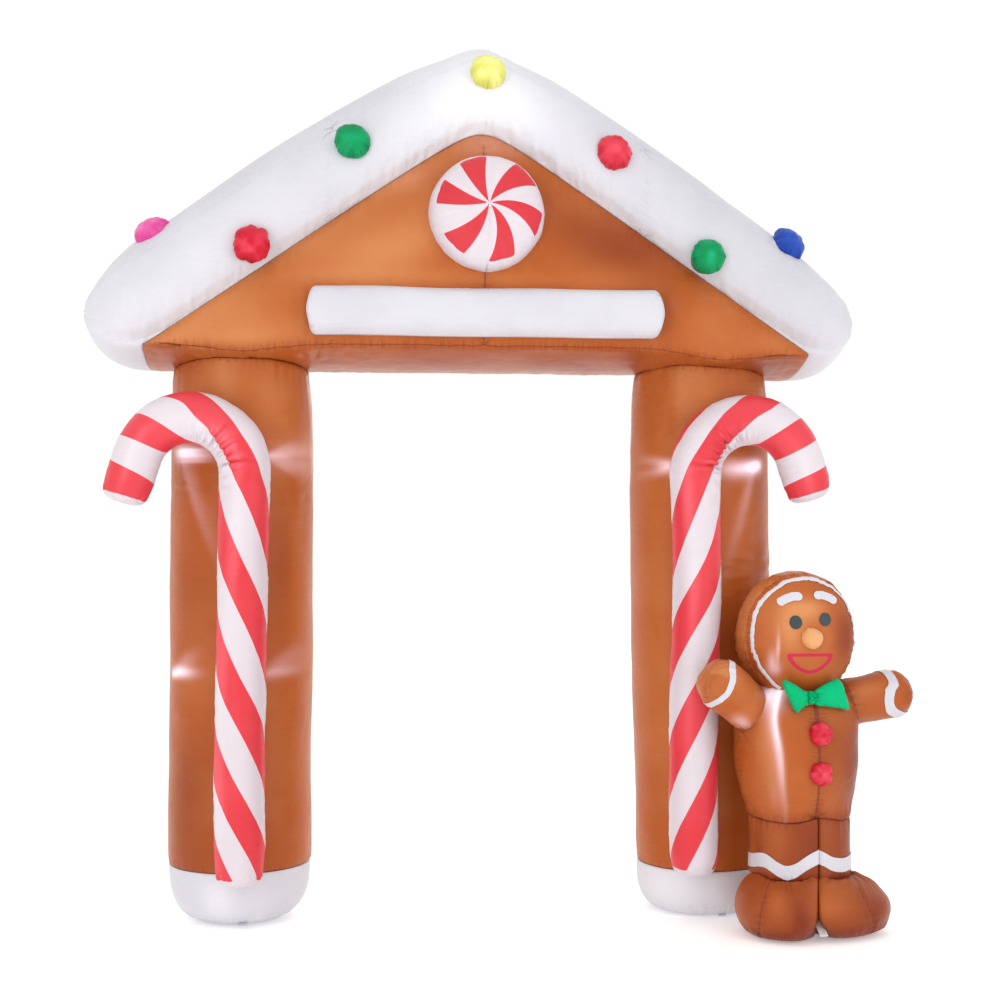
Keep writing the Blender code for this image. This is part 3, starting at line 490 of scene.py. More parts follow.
    shader = bench.shader
    # painted glow of the lamps behind the cloth and painted highlights, from the glow mark, as colour and
    # emission
    if glowing:
        glow = bench.mark("glow")
        near = bench.math("MULTIPLY", bench.math("SUBTRACT", glow, 0.62), 2.6, True)
        lit = bench.mix(near, weave["glowColour"], weave["lampColour"])
        colour = bench.mix(bench.math("MULTIPLY", glow, 0.85, True), colour, lit)
        bench.plug(shader.inputs["Emission Color"], colour)
        bench.plug(shader.inputs["Emission Strength"],
                   bench.math("ADD", bench.math("MULTIPLY", glow, 0.22), cloth["innerLight"]))
    else:
        bench.plug(shader.inputs["Emission Color"], colour)
        shader.inputs["Emission Strength"].default_value = cloth["innerLight"]
    bench.plug(shader.inputs["Base Color"], colour)
    bench.plug(shader.inputs["Roughness"], roughness)
    bench.plug(shader.inputs["Normal"], normal)
    shader.inputs["Sheen Weight"].default_value = cloth["sheen"]
    shader.inputs["Sheen Roughness"].default_value = 0.35
    shader.inputs["Sheen Tint"].default_value = (*cloth["sheenTint"], 1.0)
    shader.inputs["Specular IOR Level"].default_value = cloth["specular"]
    return bench.material


candy = cloths["candy_stripe_cloth"]
stripePaint = {"colour": candy["second"], "light": candy["secondLight"], "deep": candy["secondDeep"],
               "sharpness": 900.0}
mouthPrint = {"colour": (0.52, 0.014, 0.055), "light": (0.60, 0.035, 0.08), "deep": (0.42, 0.008, 0.035),
              "sharpness": 700.0}
brownSatin = clothMaterial("brownSatin", cloths["brown_cloth"], glowing=True)
brownFace = clothMaterial("brownFace", cloths["brown_cloth"], painted=mouthPrint, glowing=True)
brownPale = clothMaterial("brownPale", {**cloths["brown_cloth"], "light": (0.74, 0.37, 0.16)})
whiteSatin = clothMaterial("whiteSatin", cloths["white_cloth"])
whiteTrim = clothMaterial("whiteTrim", cloths["white_cloth"], seamed=False)
stripedSatin = clothMaterial("stripedSatin", candy, painted=stripePaint)
blackTrim = clothMaterial("blackTrim", cloths["black_cloth"], seamed=False)
bowSatin = clothMaterial("bowSatin", cloths["bow_green_cloth"])
webbing = clothMaterial("webbing", cloths["white_webbing"], seamed=False, ribbed=True)
print("materials done")


# the gabled beam, in metres from the floor and from the middle between the columns
beam = {
    "halfWidth": 1.0127,
    "seamHeight": 1.760, "seamHalfDepth": 0.262, "seamDip": 0.024, "seamDipWidth": 0.150,
    "belly": 1.708, "bellyPower": 2.2, "rightSag": 0.014,
    "topHalfDepth": 0.243, "bulge": 0.062,
    "peak": 2.455, "pitch": 0.689, "rounding": 0.065,
    "columnX": 0.727,
    "columns": 350,
    "front": 74, "top": 5, "under": 44,
    # painted highlights and shade on the front as (x, z), and painted shade and light under the belly as
    # (x, ring); rows as in spots
    "paintedShading": [(-0.30, 2.020, 0.15, 0.15, 0.08, 0.10, 1.1, 0.46),
              (-0.18, 2.12, 0.12, 0.08, 0.12, 0.10, 0.4, 0.30),
              (-0.82, 1.850, 0.16, 0.18, 0.06, 0.08, 1.2, 0.40),
              (-0.60, 1.800, 0.16, 0.12, 0.04, 0.05, 0, 0.35),
              (-0.50, 2.05, 0.25, 0.25, 0.12, 0.12, 0.9, 0.22),
              (-0.95, 1.78, 0.08, 0.12, 0.04, 0.04, 0, 0.28),
              (-0.72, 1.775, 0.12, 0.12, 0.02, 0.03, 0, 0.40),
              (0.24, 2.030, 0.12, 0.12, 0.06, 0.06, -0.8, 0.10),
              (0.66, 1.85, 0.10, 0.12, 0.05, 0.07, -1.0, 0.06),
              (0.93, 1.785, 0.10, 0.07, 0.03, 0.03, 0, 0.22),
              (-0.02, 2.39, 0.14, 0.12, 0.06, 0.06, 0, 0.12),
              (-0.30, 2.26, 0.12, 0.12, 0.05, 0.05, 0.64, 0.40),
              (0.40, 2.06, 0.20, 0.24, 0.08, 0.14, -0.9, -0.72),
              (0.55, 1.93, 0.12, 0.14, 0.06, 0.06, -1.0, -0.25),
              (0.17, 2.25, 0.06, 0.12, 0.12, 0.08, -0.8, -0.30),
              (-0.50, 1.86, 0.03, 0.02, 0.08, 0.08, 0, -0.30),
              (0.555, 1.86, 0.02, 0.04, 0.08, 0.08, 0, -0.36),
              (-0.05, 1.962, 0.50, 0.40, 0.022, 0.026, 0, 0.30)],
    # painted reflections on the front, as glow
    "shine": [(0.02, 2.385, 0.10, 0.16, 0.05, 0.05, 0, 0.10),
              (-0.24, 2.27, 0.08, 0.08, 0.04, 0.04, 0.64, 0.05)],
    "bellyPaintedShading": [(0.10, 3.75, 0.55, 0.50, 0.35, 0.3, 0, -0.60),
                   (-0.95, 3.9, 0.08, 0.08, 0.3, 0.3, 0, -0.25),
                   (0.92, 3.9, 0.14, 0.08, 0.3, 0.3, 0, -0.55),
                   (-0.47, 3.85, 0.04, 0.04, 0.2, 0.2, 0, -0.20),
                   (0.47, 3.85, 0.04, 0.04, 0.2, 0.2, 0, -0.30),
                   (-0.72, 3.9, 0.2, 0.2, 0.2, 0.2, 0, 0.20)],
}


# the lower edge sags a little past the right column
def sag(x):
    past = np.clip((x - 0.52) / 0.30, 0, 1)
    return beam["rightSag"] * past * past * (3 - 2 * past)


def seamHeight(x):
    away = (np.abs(x) - beam["columnX"]) / beam["seamDipWidth"]
    return beam["seamHeight"] - beam["seamDip"] * np.exp(-np.abs(away) ** 1.5) - sag(x)


def roofline(x):
    return beam["peak"] - beam["pitch"] * np.hypot(x, beam["rounding"])


def bellyHeight(share, edge, low):
    return low + (edge - low) * np.abs(share) ** beam["bellyPower"]


# how far the front panel stands in front of the arch's middle plane
def frontDepth(x, z):
    low, high = seamHeight(x), roofline(x)
    share = np.clip((z - low) / (high - low), 0, 1)
    bulge = beam["bulge"] * np.minimum(1.0, (high - low) / 0.42)
    flat = beam["seamHalfDepth"] + (beam["topHalfDepth"] - beam["seamHalfDepth"]) * share
    return flat + bulge * np.sin(math.pi * share) ** 0.8


# round the beam: 0 to 1 up the front, to 2 over the top, to 3 down the back, to 4 under the belly
def beamBase(x, ring):
    ring = ring % 4
    low, high = seamHeight(x), roofline(x)
    share = np.where(ring < 1, ring, np.clip(3 - ring, 0, 1))
    z = low + (high - low) * share
    depth = frontDepth(x, z)
    y = np.where(ring < 1, -depth, depth)
    over = (ring >= 1) & (ring < 2)
    y = np.where(over, beam["topHalfDepth"] * (2 * (ring - 1) - 1), y)
    z = np.where(over, high, z)
    under = ring >= 3
    side = 1 - 2 * (ring - 3)
    y = np.where(under, beam["seamHalfDepth"] * side, y)
    z = np.where(under, bellyHeight(side, low, beam["belly"] - sag(x)), z)
    return np.stack([x, y, z], -1) + archShift


sewnOn = {
    "sweetCentre": (0.010, 2.155), "sweetRadius": 0.176,
    "panelCentre": (0.008, 1.859), "panelHalf": (0.532, 0.0725),
}


# metres from the nearest seam of the front or back panel, and the run along it
def beamSeams(x, ring):
    low, high = seamHeight(x), roofline(x)
    share = np.where(ring < 1, ring, np.clip(3 - ring, 0, 1))
    z = low + (high - low) * share
    slopeLength = math.hypot(1.0, beam["pitch"])
    toTop = (high - z) / slopeLength
    toBottom = z - low
    toMiddle = np.abs(x - 0.004)
    toEnd = beam["halfWidth"] - np.abs(x)
    under = ring >= 3
    side = np.abs(1 - 2 * (ring - 3))
    underAway = (1 - side) * beam["seamHalfDepth"]
    away = np.stack([toTop, toBottom, toMiddle, toEnd])
    runs = np.stack([x * slopeLength, x, z, z])
    nearest = away.argmin(0)
    seam = np.take_along_axis(away, nearest[None], 0)[0]
    run = np.take_along_axis(runs, nearest[None], 0)[0]
    seam = np.where(under, underAway, np.where((ring >= 1) & (ring < 2), 0.0, seam))
    run = np.where(under, x, run)
    return seam, run, toTop, toBottom, toMiddle, z


def beamRelief(x, ring, points):
    ring = ring % 4
    seam, _, toTop, toBottom, toMiddle, z = beamSeams(x, ring)
    panel = (ring < 1) | ((ring >= 2) & (ring < 3))
    slopeRun = x * math.hypot(1.0, beam["pitch"])
    back = np.where(ring >= 2, 1.7, 0.0)
    # the panels: pulled tight at the roof, more gathered toward the apex
    apex = hump(x, 0.0, 0.34)
    height = -0.004 * np.exp(-((toBottom / 0.012) ** 2)) - 0.003 * np.exp(-((toMiddle / 0.009) ** 2))
    height += seamFolds(0.0022 + 0.0026 * apex, slopeRun + back, toTop, 0.028, 3, 0.085)
    height += seamFolds(0.0026, x + back, toBottom, 0.034, 9, 0.055)
    height += seamFolds(0.0013, z, toMiddle, 0.024, 14, 0.045)
    # sewn-on sweet and panel draw the cloth in round their edges
    front = ring < 1
    fromX, fromZ = x - sewnOn["sweetCentre"][0], z - sewnOn["sweetCentre"][1]
    sweetAway = np.abs(np.hypot(fromX, fromZ) - sewnOn["sweetRadius"])
    ringed = np.where(front, np.exp(-sweetAway / 0.045), 0.0)
    height += ringed * (0.0016 * gathers(np.arctan2(fromZ, fromX) * 0.2, sweetAway, 0.026, 21) - 0.0025)
    overX = np.maximum(np.abs(x - sewnOn["panelCentre"][0]) - sewnOn["panelHalf"][0], 0)
    overZ = np.maximum(np.abs(z - sewnOn["panelCentre"][1]) - sewnOn["panelHalf"][1], 0)
    panelAway = np.hypot(overX, overZ)
    held = np.where(front, np.exp(-panelAway / 0.040), 0.0)
    height += held * (0.0016 * gathers(x, panelAway, 0.030, 27) - 0.0030)
    # long soft swags from the corners toward the middle, and slow unevenness
    slant = np.stack([x * 0.55 + z * 0.9, z * 0, z * 0.25], -1)
    height += 0.0040 * softNoise(slant, 0.16, 31) + 0.0035 * softNoise(points, 0.26, 33)
    # over each column the belly is pulled down into folds
    column = hump(np.abs(x), beam["columnX"], 0.26)
    folds = 0.0022 * gathers(x, np.abs(1 - 2 * (ring - 3)), 0.040, 41) * (0.4 + column)
    belly = (0.0035 * softNoise(points, 0.15, 37) + folds) * np.clip(seam / 0.03, 0, 1)
    keepEnds = np.clip((beam["halfWidth"] - np.abs(x)) / 0.03, 0, 1)
    keepTop = np.clip(toTop / 0.02, 0, 1)
    height = np.where(panel, height * (0.25 + 0.75 * keepTop) - 0.0015 * (1 - keepTop), belly)
    return np.where((ring >= 1) & (ring < 2), 0.0, height) * keepEnds


def easedShares(count):
    t = np.linspace(0, 1, count)
    return 0.55 * t + 0.45 * (0.5 - 0.5 * np.cos(math.pi * t))


def makeBeam():
    x = np.linspace(-beam["halfWidth"], beam["halfWidth"], beam["columns"])
    front = easedShares(beam["front"])
    ring = np.concatenate([front * 0.9999, 1 + np.linspace(0, 1, beam["top"])[1:-1],
                           2 + front * 0.9999, 3 + np.linspace(0, 1, beam["under"])[1:-1]])
    gridX, gridRing = crossGrid(x, ring)
    points = layCloth(beamBase, beamRelief, gridX, gridRing, steps=(1e-3, 1e-5))
    seam, run = beamSeams(gridX, gridRing)[:2]
    z = points[..., 2]
    # painted light and shade from the tables, with slow random unevenness
    paintedLightAndMottle = np.where(gridRing < 1, spots(gridX, z, beam["paintedShading"]), 0.0)
    paintedLightAndMottle += np.where(gridRing >= 3, spots(gridX, gridRing, beam["bellyPaintedShading"]), 0.0) + uneven(points, 501)
    underRoof = (gridRing < 3) & (roofline(gridX) - z < 0.03)
    seam = np.where(underRoof, np.maximum(seam, 0.024), seam)
    # painted light in a strip just below the roofline, strongest on the left
    lighter = 0.26 * np.exp(-(((roofline(gridX) - z) / 0.07) ** 2)) * np.clip(0.75 - 1.4 * gridX, 0, 1)
    paintedLightAndMottle += np.where(gridRing < 1, lighter, 0.0)
    # painted reflections, as glow
    glow = np.where(gridRing < 1, spots(gridX, z, beam["shine"]), 0.0)
    return makeSkin("beamSkin", points, {"seam": seam, "run": run, "paintedLightAndMottle": paintedLightAndMottle, "glow": glow})


dress(makeBeam(), "gable", brownSatin)
print("beam done")


# the white roof, a chevron tube with rounded ends
roof = {
    "halfWidth": 1.215, "noseHeight": 1.885, "rightEnd": 0.958, "endStart": 1.0153, "straightEnd": 1.0132,
    "endPower": 2.5, "endTopPower": 2.6, "gap": 0.0008,
    "columns": 330, "endColumns": 46, "side": 80, "under": 20,
    "gussetSeam": 0.60,          # where the seam between front panel and top strip runs
    "crossSeams": [-0.46, 0.50],
    # painted light and shade; rows as in spots, (x, ring)
    "paintedShading": [(-0.02, 0.30, 0.20, 0.20, 0.4, 0.5, 0, 0.95), (0.75, 0.35, 0.35, 0.4, 0.4, 0.4, 0, -0.26),
              (-0.75, 0.80, 0.6, 0.5, 0.20, 0.3, 0, -0.22), (0.60, 0.80, 0.5, 0.5, 0.20, 0.3, 0, -0.20),
              (-0.95, 0.10, 0.3, 0.3, 0.2, 0.25, 0, 0.12), (-0.5, 0.25, 0.3, 0.3, 0.2, 0.2, 0, 0.10),
              (0.0, 0.0, 1.3, 1.3, 0.06, 0.07, 0, 0.35), (0.7, 0.45, 0.4, 0.6, 0.5, 0.5, 0, -0.14),
              (-0.6, 0.86, 0.5, 0.5, 0.20, 0.2, 0, -0.15)],
}
roofTopRows = [(-1.22, 1.970), (-1.08, 2.080), (-0.80, 2.286), (-0.55, 2.453), (-0.43, 2.530),
               (-0.25, 2.634), (-0.11, 2.690), (0.010, 2.722), (0.11, 2.684), (0.25, 2.622),
               (0.43, 2.510), (0.55, 2.428), (0.80, 2.258), (1.08, 2.052), (1.22, 1.945)]
# run round the side from the lower edge to the ridge, share of the height, half depth
roofSideRows = [(0.000, 0.00, 0.243), (0.092, 0.10, 0.281), (0.234, 0.28, 0.300),
                (0.405, 0.50, 0.293), (0.583, 0.72, 0.255), (0.736, 0.88, 0.187),
                (0.874, 0.97, 0.095), (1.000, 1.00, 0.000), (1.126, 0.97, -0.095)]


roofSides = np.linspace(0, 1, 300)
roofRises = smoothTable(roofSideRows, roofSides)[..., 0]


def roofEnds(x):
    reach = (roof["halfWidth"] - roof["endStart"]) * np.where(x > 0, roof["rightEnd"], 1.0)
    past = np.clip((np.abs(x) - roof["endStart"]) / reach, 0, 0.99999)
    upper = np.sqrt(1 - past ** roof["endTopPower"])
    lower = np.sqrt(1 - past ** roof["endPower"])
    isEnd = np.abs(x) > (roof["endStart"] + roof["straightEnd"]) / 2
    nose = roof["noseHeight"]
    line = roofline(x) + roof["gap"]
    belly = beam["belly"] - sag(x)
    low = np.where(isEnd, nose - (nose - belly) * lower, line)
    edge = np.where(isEnd, low + (roofline(roof["endStart"]) + roof["gap"] - belly) * lower, line)
    high = nose + (smoothTable(roofTopRows, x)[..., 0] - nose) * np.where(isEnd, upper, 1.0)
    high = high - 0.014 * hump(x, 1.10, 0.10)
    return low, edge, high, np.where(isEnd, lower, 1.0)


# round the roof: 0 to 1 up the front, to 2 down the back, to 3 along the bottom
def roofBase(x, ring):
    ring = ring % 3
    low, edge, high, widthShare = roofEnds(x)
    side = np.where(ring < 1, ring, np.clip(2 - ring, 0, 1))
    rise = smoothTable(roofSideRows, side)[..., 0]
    z = edge + (high - edge) * rise
    # the cut along the roofline runs out softly past the beam's end
    flatEdge = np.where(widthShare < 1, edge, roofline(roof["endStart"]) + roof["gap"])
    above = roofline(x) + roof["gap"] - flatEdge
    cutLine = flatEdge + 0.5 * (above + np.hypot(above, 0.035))
    share = np.clip((z - cutLine) / (high - cutLine), 0, 1)
    depth = smoothTable(roofSideRows, np.interp(share, roofRises, roofSides))[..., 1]
    y = np.where(ring < 1, -depth, depth) * widthShare
    under = ring >= 2
    across = 1 - 2 * (ring - 2)
    y = np.where(under, roofSideRows[0][2] * across * widthShare, y)
    z = np.where(under, bellyHeight(across, edge, low), z)
    return np.stack([x, y, z], -1) + archShift


def roofSeams(x, ring):
    edge, high = roofEnds(x)[1:3]
    side = np.where(ring < 1, ring, np.clip(2 - ring, 0, 1))
    girth = 0.30 + 0.9 * (high - edge)
    slopeRun = x * math.hypot(1.0, beam["pitch"])
    toEdge = side * girth
    toGusset = np.abs(side - roof["gussetSeam"]) * girth
    toCross = np.min([np.abs(x - place) for place in roof["crossSeams"]], axis=0) * 1.1
    away = np.stack([toEdge, toGusset, toCross + 0.0015 + 0.012 * np.exp(-toGusset / 0.014)])
    runs = np.stack([slopeRun, slopeRun, side * girth])
    nearest = away.argmin(0)
    seam = np.take_along_axis(away, nearest[None], 0)[0]
    run = np.take_along_axis(runs, nearest[None], 0)[0]
    return seam, run, toEdge, toGusset, toCross, side


def roofRelief(x, ring, points):
    ring = ring % 3
    toEdge, toGusset, toCross, side = roofSeams(x, ring)[2:]
    slopeRun = x * math.hypot(1.0, beam["pitch"]) + np.where(ring >= 1, 2.3, 0.0)
    apex = hump(x, 0.0, 0.30)
    ends = np.clip((np.abs(x) - 0.93) / 0.2, 0, 1)
    height = -0.0028 * np.exp(-((toGusset / 0.010) ** 2)) - 0.0010 * np.exp(-((toCross / 0.008) ** 2))
    height += seamFolds(0.0034 + 0.0034 * apex, slopeRun, toEdge, 0.024, 51, 0.12)
    height += seamFolds(0.0019, slopeRun, toGusset, 0.030, 57, 0.060)
    crossOnly = 1 - np.exp(-toGusset / 0.025)
    height += 0.0012 * crossOnly * gathers(side * 0.8, toCross, 0.030, 61) * np.exp(-toCross / 0.045)
    height += ends * 0.0015 * gathers(slopeRun, toGusset, 0.026, 59) * np.exp(-toGusset / 0.14)
    # the rounded ends are gathered hard all the way round
    round_ = np.arctan2(points[..., 2] - roof["noseHeight"], points[..., 1] - archShift[1])
    toTip = roof["halfWidth"] - np.abs(x)
    height += ends * 0.0050 * gathers(round_ * 0.24, toTip, 0.030, 67, 9.0) * np.exp(-toTip / 0.07)
    height += 0.0050 * softNoise(points, 0.24, 71) + 0.0018 * softNoise(points, 0.09, 73)
    keepEdge = np.clip(toEdge / 0.015, 0, 1)
    under = 0.004 * softNoise(points, 0.10, 75) * ends
    return np.where(ring >= 2, under, height * keepEdge)


def makeRoof():
    straight = np.linspace(-roof["straightEnd"], roof["straightEnd"], roof["columns"])
    turn = np.linspace(0, 1, roof["endColumns"])
    reach = roof["halfWidth"] - roof["endStart"]
    end = roof["endStart"] + reach * np.sin(turn * math.pi / 2 * 0.985)
    x = np.concatenate([-end[::-1], straight,
                        roof["endStart"] + (end - roof["endStart"]) * roof["rightEnd"]])
    side = easedShares(roof["side"])
    ring = np.concatenate([side * 0.9999, 1 + side[1:] * 0.9999,
                           2 + np.linspace(0, 1, roof["under"])[1:-1]])
    gridX, gridRing = crossGrid(x, ring)
    points = layCloth(roofBase, roofRelief, gridX, gridRing, steps=(2e-4, 1e-5))
    seam, run = roofSeams(gridX, gridRing)[:2]
    seam = np.where(gridRing >= 2, 0.2, seam)
    # painted light and shade from the table, with slow random unevenness
    paintedLightAndMottle = np.where(gridRing < 1, spots(gridX, gridRing, roof["paintedShading"]), 0.0) + uneven(points, 511, 0.8)
    return makeSkin("roofSkin", points, {"seam": seam, "run": run, "paintedLightAndMottle": paintedLightAndMottle})


dress(makeRoof(), "roof", whiteSatin)
print("roof done")


# the two columns and their white bases
column = {
    "middles": {"left": -0.735, "right": 0.727},
    # height, radius, sideways shift
    "profile": {"left": [(0.1765, 0.2165, -0.001), (0.23, 0.2195, -0.001), (0.60, 0.2205, 0.000),
                         (1.00, 0.2205, 0.002), (1.35, 0.2195, 0.003), (1.60, 0.2155, 0.003),
                         (1.69, 0.212, 0.0),
                         (1.745, 0.208, 0.0)],
                "right": [(0.1505, 0.2105, 0.0085), (0.23, 0.2135, 0.0085), (0.45, 0.2145, 0.0080),
                          (0.62, 0.2175, 0.0050), (0.85, 0.2200, 0.0020), (1.10, 0.2205, -0.0010),
                          (1.35, 0.2205, -0.0020), (1.60, 0.2175, 0.0), (1.69, 0.2130, 0.0),
                          (1.745, 0.208, 0.0)]},
    # share of the height, share of the column's radius there
    "baseProfile": {"left": [(0.0, 0.42), (0.04, 0.58), (0.15, 0.765), (0.33, 0.895), (0.565, 0.97),
                             (0.79, 0.995), (1.0, 1.0)],
                    "right": [(0.0, 0.56), (0.04, 0.73), (0.15, 0.86), (0.33, 0.945), (0.565, 0.99),
                              (0.79, 1.0), (1.0, 1.0)]},
    "rows": 180, "sides": 168, "baseRows": 46,
    "fitFrom": 1.56,             # above this height the tube follows the beam's belly
    # sideways creases: degrees round from the front (left is minus), height, degrees wide, tall, depth
    "creases": {
        "left": [(-50, 1.33, 30, 0.05, 0.0040), (48, 1.30, 26, 0.06, 0.0040),
                 (-40, 0.62, 26, 0.05, 0.0020),
                 (-20, 1.05, 18, 0.05, 0.0030)],
        "right": [(36, 1.13, 36, 0.10, 0.0060), (-32, 1.53, 16, 0.045, 0.0075),
                  (44, 0.98, 26, 0.06, 0.0045),
                  (-34, 1.26, 12, 0.04, 0.0035)],
    },
    # lamps close behind the cloth, painted on as glowing spots with streaks (rows as in spots, across in
    # degrees)
    "lamps": {
        "left": [(-54, 0.775, 10, 16, 0.018, 0.016, 0, 0.85), (-66, 0.765, 5, 8, 0.012, 0.014, 0, 0.75),
                 (-50, 0.800, 8, 12, 0.020, 0.035, 240, 0.20),
                 (28, 0.775, 8, 26, 0.016, 0.016, 420, 0.22),
                 (34, 0.800, 10, 30, 0.040, 0.050, 320, 0.16),
                 (-52, 1.440, 13, 18, 0.022, 0.020, 0, 1.15), (-34, 1.428, 14, 14, 0.014, 0.018, 0, 0.50),
                 (-40, 1.448, 20, 16, 0.004, 0.004, 420, 0.30),
                 (-40, 1.412, 20, 16, 0.004, 0.004, -420, 0.26),
                 (-50, 1.400, 4, 9, 0.240, 0.030, -120, 0.20), (24, 1.428, 5, 18, 0.010, 0.010, 0, 0.34),
                 (30, 1.440, 6, 40, 0.014, 0.030, 500, 0.26),
                 (30, 1.410, 6, 40, 0.036, 0.014, -520, 0.22),
                 (40, 1.430, 20, 50, 0.050, 0.050, 0, 0.10)],
        "right": [(43, 1.410, 12, 8, 0.020, 0.018, 0, 1.10), (34, 1.400, 26, 12, 0.024, 0.022, 0, 0.72),
                  (20, 1.390, 18, 16, 0.026, 0.026, 0, 0.34), (36, 1.380, 6, 5, 0.230, 0.030, 90, 0.22),
                  (-38, 1.405, 10, 9, 0.022, 0.018, 0, 0.62),
                  (-24, 1.412, 14, 12, 0.004, 0.004, 480, 0.26),
                  (-46, 1.420, 20, 8, 0.014, 0.016, -460, 0.22),
                  (-46, 1.388, 20, 8, 0.018, 0.014, 380, 0.20)],
    },
    # painted light and shade on the white bases
    "basePaintedShading": {
        "left": [(-14, 0.10, 16, 12, 0.08, 0.1, 0, 0.55), (48, 0.08, 26, 30, 0.1, 0.1, 0, -0.10),
                 (-55, 0.08, 20, 18, 0.1, 0.1, 0, -0.10), (0, 0.12, 99, 99, 0.1, 0.1, 0, 0.0)],
        "right": [(-45, 0.10, 30, 24, 0.1, 0.1, 0, 0.50), (8, 0.08, 20, 26, 0.1, 0.1, 0, 0.20),
                  (0, 0.12, 99, 99, 0.1, 0.1, 0, 0.22)],
    },
    # painted light and shade on the cloth
    "paintedShading": {
        "left": [(-12, 1.70, 12, 14, 0.14, 0.2, 0, 0.42), (22, 1.62, 24, 24, 0.14, 0.12, 0, 0.24),
                 (42, 1.62, 14, 22, 0.12, 0.1, 0, 0.14), (-30, 1.70, 16, 16, 0.10, 0.1, 0, 0.22),
                 (-44, 0.98, 24, 20, 0.16, 0.24, 0, -0.30),
                 (-44, 0.42, 30, 24, 0.34, 0.20, 0, -0.55), (36, 1.12, 14, 12, 0.26, 0.20, 0, -0.46),
                 (38, 0.40, 22, 18, 0.25, 0.28, 0, -0.22), (76, 1.0, 12, 20, 0.9, 0.8, 0, 0.22),
                 (-78, 0.9, 16, 10, 0.9, 0.7, 0, -0.16), (66, 1.45, 12, 14, 0.08, 0.08, 0, 0.26),
                 (54, 0.79, 12, 18, 0.06, 0.06, 0, -0.12), (0, 0.17, 99, 99, 0.03, 0.10, 0, -0.14)],
        "right": [(-29, 1.68, 5, 16, 0.14, 0.2, 0, 0.40), (-8, 1.68, 12, 12, 0.12, 0.2, 0, 0.22),
                  (-75, 1.0, 18, 12, 0.9, 0.8, 0, 0.16), (-48, 1.10, 10, 10, 0.22, 0.18, 0, 0.12),
                  (-40, 0.62, 20, 16, 0.36, 0.45, 0, 0.26), (16, 0.42, 14, 12, 0.30, 0.32, 0, -0.10),
                  (30, 1.25, 16, 14, 0.12, 0.10, 0, 0.0), (30, 1.55, 22, 20, 0.08, 0.10, 0, -0.20),
                  (48, 1.12, 18, 14, 0.18, 0.16, 0, -0.46)],
    },
}


def columnBase(side):
    middle = column["middles"][side]

    rows = column["profile"][side]

    def base(angle, height):
        radius, shift = readRows(rows, height)
        x, y = radius * np.sin(angle) + shift, -radius * np.cos(angle)
        share = np.clip(y / beam["seamHalfDepth"], -1, 1)
        top = bellyHeight(share, seamHeight(x + middle), beam["belly"] - sag(x + middle)) - 0.0005
        past = np.clip((height - column["fitFrom"]) / (rows[-1][0] - column["fitFrom"]), 0, 1.01)
        z = np.where(height > column["fitFrom"], column["fitFrom"] + (top - column["fitFrom"]) * past,
                     height)
        return np.stack([middle + x, y, z], -1) + archShift
    return base


def columnRelief(side):
    seed = 101 if side == "left" else 151

    def relief(angle, height, points):
        run = angle * 0.22
        toTop = np.clip(column["profile"][side][-1][0] - height, 0, 9)
        toBottom = np.clip(height - column["profile"][side][0][0], 0, 9)
        toBack = np.abs(angleGap(angle, math.pi)) * 0.22
        around = np.stack([np.cos(angle) * 0.2, np.sin(angle) * 0.2, height * 0.5], -1)
        raised = ringFolds(0.0050, angle, 0.22, toTop, 0.035, seed, 0.060)
        raised += ringFolds(0.0020, angle, 0.22, toBottom, 0.026, seed + 1, 0.035)
        raised += seamFolds(0.0012, height, toBack, 0.030, seed + 2, 0.030)
        raised -= 0.003 * np.exp(-((toBack / 0.007) ** 2))
        raised += 0.0040 * softNoise(around, 0.13, seed + 3) + 0.0012 * softNoise(points, 0.07, seed + 4)
        for degrees, place, wide, tall, depth in column["creases"][side]:
            local = (np.exp(-((angleGap(angle, math.radians(degrees)) / math.radians(wide)) ** 2))
                     * hump(height, place, tall))
            raised += local * depth * gathers(height, run, 0.020, seed + 7, 5.0)
        edge = np.clip(toTop / 0.01, 0, 1) * np.clip(toBottom / 0.01, 0, 1)
        return raised * (0.3 + 0.7 * edge) - 0.0025 * (1 - edge)
    return relief


